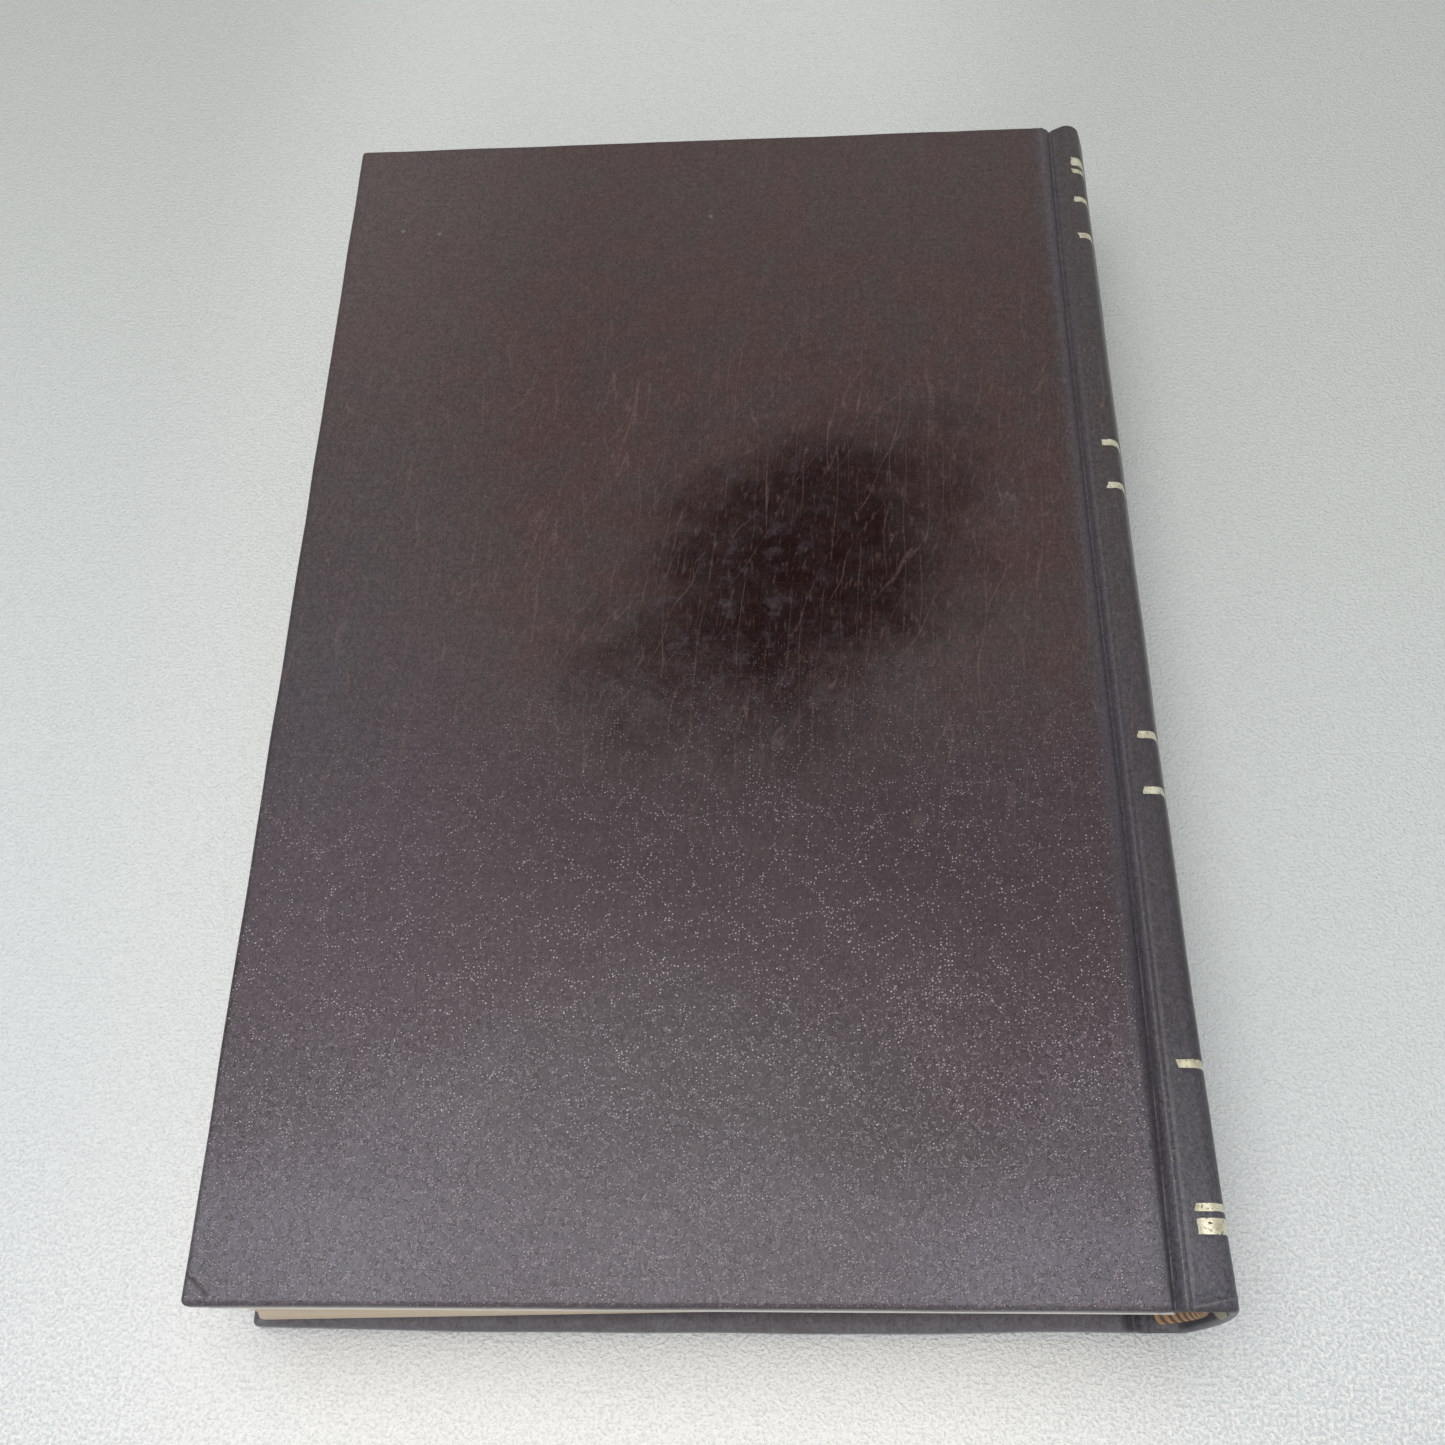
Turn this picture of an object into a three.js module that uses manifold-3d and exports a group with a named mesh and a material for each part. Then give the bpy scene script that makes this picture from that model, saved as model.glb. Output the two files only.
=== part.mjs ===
// A prayer book in a dark leatherette case binding, closed and lying on its lower cover.
//
// Millimetres, +Z up. The tail of the book is at -Y, its head at +Y, its fore-edge at -X
// and its spine at +X. The origin is at the centre of the footprint, on the resting face.
// Lengths along X are laid out from the fore-edge of the covers, and the finished book is
// moved to its origin at the end.
//
// The case is two covered boards, a groove of bare leather beside each board and a rounded
// spine with a card strip. The text block is twelve folded sections sewn on tapes, with
// mull and a paper lining glued over their backs and an end band at the head and the tail.

import * as THREE from 'three';
import { mergeVertices } from 'three/addons/utils/BufferGeometryUtils.js';
import Module from 'manifold-3d';

const wasm = await Module();
wasm.setup();

// Covers.
const bookHeight = 245;
const boardWidth = 150;
const boardThickness = 2.2;
const boardCornerRadius = 1.5;
const leatherThickness = 0.6;
const leatherEdgeRound = 0.5;
const turnInThickness = 0.4;
const turnInWidth = 8;
const pastedownThickness = 0.3;

// Grooves and spine.
const jointWidth = 9.3;
const grooveDepth = 1;
const grooveHalfWidth = 3;
const grooveSetback = 3.3;
const spineCornerRadius = 3.2;
const spineBulge = 1.5;
const stripThickness = 0.8;
const liningThickness = 0.3;
const mullThickness = 0.3;
const tapeThickness = 0.3;
const tapeWidth = 12;
const tapeCount = 4;

// Text block. A square is how far the covers stand past the pages, and the sag is how far
// the fore-edge of the heavy block has dropped towards the tail.
const sectionCount = 12;
const sectionThickness = 2.35;
const flyleafThickness = 0.3;
const headSquare = 3.4;
const tailSquare = 4.4;
const foreSquare = 2.7;
const blockSag = 3.5;
const endBandRadius = 0.9;

// Gilt lines across the spine: a wide and a narrow one at each end, and seven between,
// whose places are shares of the height counted from the tail.
const giltThickness = 0.1;
const wideLine = 2.4;
const narrowLine = 1.2;
const middleLine = 1.4;
const lineSpacing = 1;
const tailLineInset = 12.3;
const headLineInset = 10.8;
const middleLineShares = [0.152, 0.347, 0.391, 0.609, 0.65, 0.869, 0.911];

// Clearances.
const giltSeat = 0.03;
const fitGap = 0.1;
const leafGap = 0.1;
const bodyGap = 0.3;
const hollowGap = 0.3;
const endBandGap = 0.5;

// Facets of the round stretches.
const cornerSteps = 6;
const backSteps = 16;
const grooveSteps = 12;
const bandSides = 8;

// Worked out from the sizes above.
const halfHeight = bookHeight / 2;
const coverThickness = leatherThickness + fitGap + boardThickness + fitGap + turnInThickness;
const leafPitch = sectionThickness + leafGap;
const blockBottom = coverThickness + leafGap + flyleafThickness + leafGap;
const bookThickness = 2 * blockBottom + sectionCount * leafPitch - leafGap;
const middleHeight = bookThickness / 2;
const spineStart = boardWidth + jointWidth;
const bookWidth = spineStart + spineCornerRadius + spineBulge;

// The back is one arc that runs into the two corner arcs without a kink: halfSpan is the
// height from a corner's centre to the middle, and backAngle is half of the back's turn.
const halfSpan = middleHeight - spineCornerRadius;
const backAngle = 2 * Math.atan(spineBulge / halfSpan);
const backRadius = spineCornerRadius + halfSpan / Math.sin(backAngle);
const backCentre = bookWidth - backRadius;

// Depths of the spine's layers below its outermost surface, the gilt's.
const leatherDepth = giltThickness + giltSeat;
const stripDepth = leatherDepth + leatherThickness + fitGap;
const liningDepth = stripDepth + stripThickness + hollowGap;
const mullDepth = liningDepth + liningThickness + fitGap;
const tapeDepth = mullDepth + mullThickness + fitGap;
const foldDepth = tapeDepth + tapeThickness + fitGap;

// The pages in plan.
const foldRadius = sectionThickness / 2;
const pageHead = halfHeight - headSquare;
const pageTail = -halfHeight + tailSquare;
const outerBack = foldBack(0);
const pageWidth = outerBack - foreSquare;

/** Height of the lower face of a section, counted from 0 at the bottom. */
function sectionBottom(index) {
  return blockBottom + index * leafPitch;
}

/** Where the fold of a section ends towards the spine, so that it lies on the back's arc. */
function foldBack(index) {
  const rise = sectionBottom(index) + foldRadius - middleHeight;
  const reach = backRadius - foldDepth - foldRadius;
  return backCentre + Math.sqrt(reach * reach - rise * rise) + foldRadius;
}

/** A closed three.js geometry as a solid that can be cut and joined. */
function toSolid(geometry) {
  const bare = geometry.clone();
  bare.deleteAttribute('normal');
  bare.deleteAttribute('uv');
  const merged = mergeVertices(bare);
  return new wasm.Manifold(new wasm.Mesh({
    numProp: 3,
    vertProperties: new Float32Array(merged.attributes.position.array),
    triVerts: new Uint32Array(merged.index.array),
  }));
}

/** A cut or joined solid as a three.js geometry again. */
function toGeometry(solid) {
  const mesh = solid.getMesh();
  const geometry = new THREE.BufferGeometry();
  geometry.setAttribute('position', new THREE.BufferAttribute(mesh.vertProperties, 3));
  geometry.setIndex(new THREE.BufferAttribute(mesh.triVerts, 1));
  geometry.computeVertexNormals();
  return geometry;
}

/** A block between two corners. */
function block(low, high) {
  const size = high.map((value, axis) => value - low[axis]);
  const centre = high.map((value, axis) => (value + low[axis]) / 2);
  return new THREE.BoxGeometry(...size).translate(...centre);
}

/** A profile of X and Z points run along Y from one place to another. */
function alongHeight(points, from, to) {
  const shape = new THREE.Shape(points);
  const settings = { depth: to - from, bevelEnabled: false };
  return new THREE.ExtrudeGeometry(shape, settings).rotateX(Math.PI / 2).translate(0, to, 0);
}

/** Points of an arc in the X and Z plane. */
function arc(centreX, centreZ, radius, from, to, steps) {
  return Array.from({ length: steps + 1 }, (_, step) => {
    const angle = from + (to - from) * step / steps;
    return new THREE.Vector2(
      centreX + radius * Math.cos(angle),
      centreZ + radius * Math.sin(angle),
    );
  });
}

/** The plan of a cover, its two fore-edge corners rounded, drawn in from every edge. */
function coverPlan(inset, jointEdge) {
  const radius = Math.max(boardCornerRadius - inset, fitGap);
  const half = halfHeight - inset;
  const shape = new THREE.Shape();
  shape.moveTo(jointEdge, -half);
  shape.lineTo(jointEdge, half);
  shape.lineTo(inset + radius, half);
  shape.absarc(inset + radius, half - radius, radius, Math.PI / 2, Math.PI, false);
  shape.lineTo(inset, -half + radius);
  shape.absarc(inset + radius, -half + radius, radius, Math.PI, 1.5 * Math.PI, false);
  return shape;
}

/** A slab of the cover's plan between two heights. */
function coverSlab(inset, jointEdge, bottom, top) {
  const settings = { depth: top - bottom, bevelEnabled: false, curveSegments: cornerSteps };
  return new THREE.ExtrudeGeometry(coverPlan(inset, jointEdge), settings).translate(0, 0, bottom);
}

/**
 * The leather of a cover: its outer face, its three edges and the turn-ins inside. At the
 * joint it is a single layer, so the notch takes the rest of its thickness away there.
 */
function coverLeather() {
  const settings = {
    depth: coverThickness - 2 * leatherEdgeRound,
    bevelThickness: leatherEdgeRound,
    bevelSize: leatherEdgeRound,
    bevelOffset: -leatherEdgeRound,
    bevelSegments: 3,
    curveSegments: cornerSteps,
  };
  const outside = new THREE.ExtrudeGeometry(coverPlan(0, boardWidth), settings);
  outside.translate(0, 0, leatherEdgeRound);
  const beyondJoint = boardWidth + leatherThickness;
  const pocketTop = coverThickness - turnInThickness;
  const pocket = coverSlab(leatherThickness, beyondJoint, leatherThickness, pocketTop);
  const window = block(
    [turnInWidth, -halfHeight + turnInWidth, leatherThickness],
    [beyondJoint, halfHeight - turnInWidth, coverThickness + leatherThickness],
  );
  const notch = block(
    [boardWidth - leatherThickness, -bookHeight, leatherThickness],
    [beyondJoint, bookHeight, coverThickness + leatherThickness],
  );
  const cuts = [pocket, window, notch].map(toSolid);
  return toGeometry(cuts.reduce((left, cut) => left.subtract(cut), toSolid(outside)));
}

/** The board, inside the pocket of its leather. */
function board() {
  const inset = leatherThickness + fitGap;
  return coverSlab(inset, boardWidth - fitGap, inset, inset + boardThickness);
}

/** The paper pasted on the inside of a board, between the turn-ins. */
function pastedown() {
  const bottom = coverThickness - turnInThickness;
  const edge = turnInWidth + fitGap;
  return block(
    [edge, -halfHeight + edge, bottom],
    [boardWidth - fitGap, halfHeight - edge, bottom + pastedownThickness],
  );
}

/** The leather between a board and the spine, pressed into a groove on its outer face. */
function jointLeather() {
  const start = boardWidth + bodyGap / 2;
  const end = spineStart - bodyGap;
  const grooveCentre = boardWidth + grooveSetback;
  const outer = [new THREE.Vector2(start, 0)];
  for (let step = 0; step <= grooveSteps; step += 1) {
    const turn = Math.PI * (2 * step / grooveSteps - 1);
    const depth = grooveDepth * (1 + Math.cos(turn)) / 2;
    outer.push(new THREE.Vector2(grooveCentre + grooveHalfWidth * turn / Math.PI, depth));
  }
  outer.push(new THREE.Vector2(end, 0));
  const inner = outer.map((point) => new THREE.Vector2(point.x, point.y + leatherThickness));
  return alongHeight([...outer, ...inner.reverse()], -halfHeight, halfHeight);
}

/** The spine's outline at a depth below its surface, from the lower corner to the upper. */
function spineOutline(depth) {
  const radius = spineCornerRadius - depth;
  const top = bookThickness - spineCornerRadius;
  const quarter = Math.PI / 2;
  const lower = arc(spineStart, spineCornerRadius, radius, -quarter, -backAngle, cornerSteps);
  const back = backArc(depth, backAngle);
  const upper = arc(spineStart, top, radius, backAngle, quarter, cornerSteps);
  return [...lower, ...back.slice(1, -1), ...upper];
}

/** The arc of the back at a depth below its surface, to an angle each side of the middle. */
function backArc(depth, angle) {
  return arc(backCentre, middleHeight, backRadius - depth, -angle, angle, backSteps);
}

/** The angle at which the back at some depth reaches as high as the text block. */
function blockAngle(depth) {
  return Math.asin((middleHeight - blockBottom) / (backRadius - depth));
}

/** A layer that wraps the whole spine. */
function spineLayer(depth, thickness, from, to) {
  const inner = spineOutline(depth + thickness).reverse();
  return alongHeight([...spineOutline(depth), ...inner], from, to);
}

/** A layer on the flat of the back only. */
function backLayer(depth, thickness, angle, from, to) {
  const inner = backArc(depth + thickness, angle).reverse();
  return alongHeight([...backArc(depth, angle), ...inner], from, to);
}

/** The band of silk over a core that finishes one end of the block's back. */
function endBand(place) {
  const reach = backRadius - tapeDepth - endBandRadius;
  const path = new THREE.CatmullRomCurve3(
    arc(backCentre, middleHeight, reach, -blockAngle(tapeDepth), blockAngle(tapeDepth), backSteps)
      .map((point) => new THREE.Vector3(point.x, place, point.y)),
  );
  const section = new THREE.Shape();
  section.absarc(0, 0, endBandRadius, 0, 2 * Math.PI, false);
  const settings = { steps: backSteps, curveSegments: bandSides, extrudePath: path };
  return new THREE.ExtrudeGeometry(section, settings);
}

/** Drops a piece of the text block towards the tail in step with its way from the spine. */
function sag(geometry) {
  const slope = blockSag / pageWidth;
  geometry.applyMatrix4(new THREE.Matrix4().makeShear(slope, 0, 0, 0, 0, 0));
  return geometry.translate(0, -slope * outerBack, 0);
}

/** A section of sheets folded together: square at the fore-edge and round at the fold. */
function section(index) {
  const bottom = sectionBottom(index);
  const top = bottom + sectionThickness;
  const foldEnd = foldBack(index);
  const fold = arc(
    foldEnd - foldRadius, bottom + foldRadius, foldRadius, -Math.PI / 2, Math.PI / 2, cornerSteps,
  );
  const foreEdge = foldEnd - pageWidth;
  const outline = [new THREE.Vector2(foreEdge, bottom), ...fold, new THREE.Vector2(foreEdge, top)];
  return sag(alongHeight(outline, pageTail, pageHead));
}

/** The free leaf between a cover and the text block. */
function flyleaf(bottom) {
  return sag(block(
    [foreSquare, pageTail, bottom],
    [outerBack - foldRadius, pageHead, bottom + flyleafThickness],
  ));
}

/** A named piece in its own finish. */
function piece(name, geometry, color, roughness, metalness = 0) {
  const material = new THREE.MeshStandardMaterial({ color, roughness, metalness });
  const mesh = new THREE.Mesh(geometry, material);
  mesh.name = name;
  return mesh;
}

const leatherColor = 0x4a4042;
const boardColor = 0x8c8474;
const paperColor = 0xcfc6b0;
const clothColor = 0xd8d2c2;
const giltColor = 0xc9bf94;
const silkColor = 0xb0763a;

/** A board with its leather and pastedown, outer face down on Z = 0. */
function cover(side) {
  const group = new THREE.Group();
  group.add(piece(`${side}_leather`, coverLeather(), leatherColor, 0.5));
  group.add(piece(`${side}_board`, board(), boardColor, 0.9));
  group.add(piece(`${side}_pastedown`, pastedown(), paperColor, 0.9));
  return group;
}

/** The lines of gilt over the spine, each a thin band on the leather. */
function giltLines() {
  const group = new THREE.Group();
  const narrowStep = (wideLine + narrowLine) / 2 + lineSpacing;
  const tailPlace = -halfHeight + tailLineInset;
  const headPlace = halfHeight - headLineInset;
  const lines = [
    [tailPlace, wideLine],
    [tailPlace + narrowStep, narrowLine],
    ...middleLineShares.map((share) => [-halfHeight + share * bookHeight, middleLine]),
    [headPlace - narrowStep, narrowLine],
    [headPlace, wideLine],
  ];
  lines.forEach(([place, width], index) => {
    const name = `gilt_line_${String(index + 1).padStart(2, '0')}`;
    const band = spineLayer(0, giltThickness, place - width / 2, place + width / 2);
    group.add(piece(name, band, giltColor, 0.35, 0.8));
  });
  return group;
}

/** The sewing tapes, spread evenly over the height of the pages. */
function sewingTapes() {
  const group = new THREE.Group();
  const spacing = (pageHead - pageTail) / (tapeCount + 1);
  for (let index = 0; index < tapeCount; index += 1) {
    const place = pageTail + spacing * (index + 1);
    const from = place - tapeWidth / 2;
    const tape = backLayer(tapeDepth, tapeThickness, blockAngle(tapeDepth), from, from + tapeWidth);
    group.add(piece(`sewing_tape_${index + 1}`, tape, clothColor, 0.9));
  }
  return group;
}

/** Everything that turns with the spine. */
function spine() {
  const group = new THREE.Group();
  const leather = spineLayer(leatherDepth, leatherThickness, -halfHeight, halfHeight);
  group.add(piece('spine_leather', leather, leatherColor, 0.5));
  const stripEnd = halfHeight - leatherThickness;
  const strip = backLayer(stripDepth, stripThickness, backAngle, -stripEnd, stripEnd);
  group.add(piece('spine_strip', strip, boardColor, 0.9));
  const bandReach = endBandGap + 2 * endBandRadius;
  const backTail = pageTail - bandReach;
  const backHead = pageHead + bandReach;
  const liningAngle = blockAngle(liningDepth);
  const lining = backLayer(liningDepth, liningThickness, liningAngle, backTail, backHead);
  group.add(piece('spine_lining', lining, paperColor, 0.9));
  const mull = backLayer(mullDepth, mullThickness, blockAngle(mullDepth), backTail, backHead);
  group.add(piece('mull', mull, clothColor, 0.95));
  group.add(piece('head_band', endBand(backHead - endBandRadius), silkColor, 0.7));
  group.add(piece('tail_band', endBand(backTail + endBandRadius), silkColor, 0.7));
  group.add(sewingTapes());
  group.add(giltLines());
  return group;
}

/** The folded sections, counted from the lower cover. */
function textBlock() {
  const group = new THREE.Group();
  for (let index = 0; index < sectionCount; index += 1) {
    const name = `section_${String(index + 1).padStart(2, '0')}`;
    group.add(piece(name, section(index), paperColor, 0.9));
  }
  return group;
}

const lowerCover = cover('bottom');
lowerCover.add(piece('bottom_joint_leather', jointLeather(), leatherColor, 0.5));

const upperCover = cover('top');
upperCover.add(piece('top_joint_leather', jointLeather(), leatherColor, 0.5));
upperCover.rotation.x = Math.PI;
upperCover.position.z = bookThickness;

const lowerFlyleaf = coverThickness + leafGap;
const upperFlyleaf = bookThickness - lowerFlyleaf - flyleafThickness;

const book = new THREE.Group();
book.name = 'prayer_book';
book.add(lowerCover, upperCover, textBlock(), spine());
book.add(piece('bottom_flyleaf', flyleaf(lowerFlyleaf), paperColor, 0.9));
book.add(piece('top_flyleaf', flyleaf(upperFlyleaf), paperColor, 0.9));
book.position.x = -bookWidth / 2;

export default book;
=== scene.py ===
# %% [markdown]
# # A prayer book in dark leatherette
#
# The object is one closed hardback: two covered boards, a groove beside the spine, a flat
# spine with gilt lines, and twelve folded sections of old paper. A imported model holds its
# sizes and hinges, and is never moved. This lesson dresses it with surfaces worked out in
# numpy, and gives each piece a finish made of shader nodes.

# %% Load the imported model
import math

import bpy
import numpy as np
from mathutils import Matrix, Vector


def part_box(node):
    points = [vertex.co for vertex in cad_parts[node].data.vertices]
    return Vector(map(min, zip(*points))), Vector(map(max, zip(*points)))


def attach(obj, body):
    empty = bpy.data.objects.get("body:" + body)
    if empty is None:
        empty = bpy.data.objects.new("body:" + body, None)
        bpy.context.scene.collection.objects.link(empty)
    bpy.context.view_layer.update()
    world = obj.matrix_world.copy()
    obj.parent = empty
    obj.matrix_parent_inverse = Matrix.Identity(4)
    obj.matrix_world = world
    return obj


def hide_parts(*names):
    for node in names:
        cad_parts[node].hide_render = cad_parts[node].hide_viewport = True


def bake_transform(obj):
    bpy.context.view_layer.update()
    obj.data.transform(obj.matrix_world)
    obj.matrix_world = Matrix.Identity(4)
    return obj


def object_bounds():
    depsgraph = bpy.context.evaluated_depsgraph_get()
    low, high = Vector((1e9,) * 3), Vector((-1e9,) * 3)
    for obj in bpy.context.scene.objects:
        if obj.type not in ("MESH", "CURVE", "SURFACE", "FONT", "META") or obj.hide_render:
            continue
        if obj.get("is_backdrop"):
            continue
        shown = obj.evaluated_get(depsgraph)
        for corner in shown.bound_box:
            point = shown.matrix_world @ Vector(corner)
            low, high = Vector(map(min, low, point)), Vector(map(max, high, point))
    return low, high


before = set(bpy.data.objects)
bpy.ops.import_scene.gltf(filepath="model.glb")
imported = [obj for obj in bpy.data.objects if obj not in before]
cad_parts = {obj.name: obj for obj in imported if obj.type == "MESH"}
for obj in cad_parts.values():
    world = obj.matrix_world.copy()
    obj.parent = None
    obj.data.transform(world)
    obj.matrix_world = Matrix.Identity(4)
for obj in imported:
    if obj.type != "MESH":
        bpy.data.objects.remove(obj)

cad_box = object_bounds()

# %% [markdown]
# ## Measures
#
# The shapes are worked out in millimetres and become metres when they are put in a mesh. The
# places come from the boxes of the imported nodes, so every piece sits where its solid does.

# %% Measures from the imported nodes
MM = 1000.0


def node_box(name):
    """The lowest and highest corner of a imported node, in millimetres."""
    return [[value * MM for value in corner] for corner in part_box(name)]


(FORE, TAIL, COVER_INSIDE), (JOINT, HEAD, TOP) = node_box("top_leather")
COVER = TOP - COVER_INSIDE
HEIGHT = HEAD - TAIL
SPINE_OUT = node_box("spine_leather")[1][0]
print(f"book: {SPINE_OUT - FORE:.1f} x {HEIGHT:.1f} x {TOP:.1f} mm, covers {COVER:.1f} mm thick")

# %% [markdown]
# ## From points to a mesh
#
# Almost every piece here is a sheet: leatherette, paper, card, cloth or gilt. It starts as
# rows of points, and the faces between them are found for the whole grid at once. The second
# side lies one thickness below, against each point's normal, and a rim closes the border. So
# the mesh is final, which a piece that bends over a hinge needs.

# %% Grids, welding and thickness
def grid_faces(rows, columns):
    """Quads of a grid kept row by row. Their outside is columns crossed with rows."""
    corner = np.arange(rows - 1)[:, None] * columns + np.arange(columns - 1)
    quads = np.stack([corner, corner + 1, corner + 1 + columns, corner + columns], axis=-1)
    return quads.reshape(-1, 4)


def weld(points, faces):
    """Joins points within a micrometre, drops faces that vanish, and says which points stay."""
    keys = np.round(points * 1000).astype(np.int64)
    _, kept, where = np.unique(keys, axis=0, return_index=True, return_inverse=True)
    faces = where.reshape(-1)[faces]
    ordered = np.sort(faces, axis=1)
    corners = 1 + (np.diff(ordered, axis=1) > 0).sum(axis=1)
    return points[kept], faces[corners > 2], kept


def point_normals(points, faces):
    """The mean outward direction at each point: its faces' normals, added by their area."""
    diagonal = points[faces[:, 2]] - points[faces[:, 0]]
    other = points[faces[:, 3]] - points[faces[:, 1]]
    normals = np.zeros_like(points)
    np.add.at(normals, faces.reshape(-1), np.repeat(np.cross(diagonal, other), 4, axis=0))
    return normals / np.maximum(np.linalg.norm(normals, axis=1, keepdims=True), 1e-12)


def thicken(points, faces, thickness):
    """Closes a sheet: each point gets a twin one thickness below it, and the border a rim."""
    count = len(points)
    inner = points - point_normals(points, faces) * thickness
    start = faces.reshape(-1)
    end = np.roll(faces, -1, axis=1).reshape(-1)
    start, end = start[start != end], end[start != end]
    border = ~np.isin(start * count + end, end * count + start)
    start, end = start[border], end[border]
    rim = np.stack([end, start, start + count, end + count], axis=1)
    return np.vstack([points, inner]), np.vstack([faces, faces[:, ::-1] + count, rim])


def surface(x, y, z):
    """An open shape from the X, Y and Z of its rows and columns of points."""
    grid = np.stack(np.broadcast_arrays(x, y, z), axis=-1)
    return grid.reshape(-1, 3), grid_faces(*grid.shape[:2])


def sheet(x, y, z, thickness):
    """A surface closed to a sheet of some thickness."""
    return thicken(*surface(x, y, z), thickness)


def turned_over(points, faces):
    """The same shape on the other side of the book: its height is counted from the top."""
    return points * [1, 1, -1] + [0, 0, TOP], faces[:, ::-1]


def together(*shapes):
    """Several shapes as one list of points and one of faces."""
    counts = np.cumsum([0] + [len(points) for points, _ in shapes])
    faces = [faces + count for (_, faces), count in zip(shapes, counts)]
    return np.vstack([points for points, _ in shapes]), np.vstack(faces)


# %% [markdown]
# A quad with a repeated corner, which welding leaves at a pole, is written as a triangle.
# Folds sharper than `SHARP` stay crisp. Most pieces stand for a imported node and ride on one
# body. A piece over a hinge names no body.

# %% Put a shape in a mesh
SHARP = math.radians(48)


def make_piece(name, shape, finish, body=None, node=None, uv=None):
    """A new object at the origin, holding the shape in metres. A finish is (material, slot), and the slot
    is not used.
    """
    points, faces = shape
    material, slot = finish
    corners = [list(dict.fromkeys(face)) for face in faces.tolist()]
    mesh = bpy.data.meshes.new(name)
    mesh.from_pydata((points / MM).tolist(), [], corners)
    mesh.polygons.foreach_set("use_smooth", np.ones(len(corners), bool))
    mesh.set_sharp_from_angle(angle=SHARP)
    if uv is not None:
        where = np.zeros(len(mesh.loops), np.int32)
        mesh.loops.foreach_get("vertex_index", where)
        layer = mesh.uv_layers.new(name="UVMap")
        layer.uv.foreach_set("vector", uv[where].astype(np.float32).ravel())
    mesh.materials.append(material)
    piece = bpy.data.objects.new(name, mesh)
    bpy.context.scene.collection.objects.link(piece)
    if node:
        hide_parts(node)
    if body:
        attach(piece, body)
    print(f"{name}: {len(corners)} faces")
    return piece


# %% [markdown]
# ## Small irregularities
#
# Nothing on an old book is quite flat. A few cosine waves in random directions make a height
# that rolls gently. The generator is seeded, so each run gives the same book.

# %% Waves over a surface
def smooth(value):
    """0 below 0, 1 above 1, and the curve 3t^2 - 2t^3 between them."""
    t = np.clip(value, 0, 1)
    return t * t * (3 - 2 * t)


def hump(value, middle, width):
    """1 at the middle, and e to the minus square of the distance in widths around it."""
    return np.exp(-((value - middle) / width) ** 2)


def waves(x, y, length, seed):
    """A smooth height from about -1 to 1: eight cosine waves near one length, added up."""
    draw = np.random.default_rng(seed)
    total = np.zeros(np.broadcast(x, y).shape)
    for _ in range(8):
        turn = draw.uniform(0, 2 * np.pi)
        step = 2 * np.pi / (length * draw.uniform(0.7, 1.5))
        phase = draw.uniform(0, 2 * np.pi)
        total = total + np.cos((x * np.cos(turn) + y * np.sin(turn)) * step + phase)
    return total / 4


# %% [markdown]
# ## Shader helpers
#
# The finishes are node trees. An output is kept as a `Value`, which plain signs can add,
# subtract and multiply: each sign adds a Math node to the tree that is being filled, the last
# one in `TREES`. A Mapping node turns metres into millimetres, so each pattern's scale is the
# number of its cells in a millimetre.

# %% Helpers for node trees
TREES = []


class Value:
    """An output of a node that plain signs can add, subtract and multiply."""

    def __init__(self, socket):
        self.socket = socket

    def __add__(self, other):
        return calc("ADD", self, other)

    def __sub__(self, other):
        return calc("SUBTRACT", self, other)

    def __rsub__(self, other):
        return calc("SUBTRACT", other, self)

    def __mul__(self, other):
        return calc("MULTIPLY", self, other)

    def __abs__(self):
        return calc("ABSOLUTE", self)


class Outputs:
    """All the outputs of a node, by their names or numbers."""

    def __init__(self, node):
        self.node = node

    def __getitem__(self, key):
        return Value(self.node.outputs[key])


def feed(sockets, values):
    """Links each named socket to its value, or sets it to a plain number, colour or place."""
    for key, value in values.items():
        if isinstance(value, Value):
            TREES[-1].links.new(value.socket, sockets[key])
        else:
            sockets[key].default_value = value


def add(kind, values, **settings):
    """Adds a node, sets its options, feeds its inputs, and gives its outputs."""
    node = TREES[-1].nodes.new("ShaderNode" + kind)
    for name, value in settings.items():
        setattr(node, name, value)
    feed(node.inputs, values)
    return Outputs(node)


def calc(operation, *values):
    """The result of one sum on numbers or values."""
    return add("Math", dict(enumerate(values)), operation=operation)[0]


def most(first, second):
    """The larger of two."""
    return calc("MAXIMUM", first, second)


def fade(value, low, high, start=0.0, end=1.0):
    """Goes smoothly from start to end as the value goes from low to high, or down to high."""
    values = {0: value, 1: low, 2: high, 3: start, 4: end}
    return add("MapRange", values, interpolation_type="SMOOTHSTEP")[0]


def mix(share, first, second):
    """Two colours mixed by a share."""
    return add("Mix", {0: share, 6: first, 7: second}, data_type="RGBA")[2]


def layered(colour, *layers):
    """A colour with tints mixed over it in turn, each by its own share."""
    for share, tint in layers:
        colour = mix(share, colour, tint)
    return colour


def vector(operation, *values):
    """The outputs of one sum on places."""
    return add("VectorMath", dict(enumerate(values)), operation=operation)


def scaled(place, x, y, z):
    """A place with each coordinate multiplied by its own number."""
    return add("Mapping", {"Vector": place, "Scale": (x, y, z)})[0]


def parts(place):
    """X, Y and Z of a place."""
    return add("SeparateXYZ", {0: place})


def noise(place, scale, detail=2.0, rough=0.5):
    """A cloudy value from 0 to 1, with a scale in cells a millimetre."""
    values = {"Vector": place, "Scale": scale, "Detail": detail, "Roughness": rough}
    return add("TexNoise", values)[0]


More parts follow.
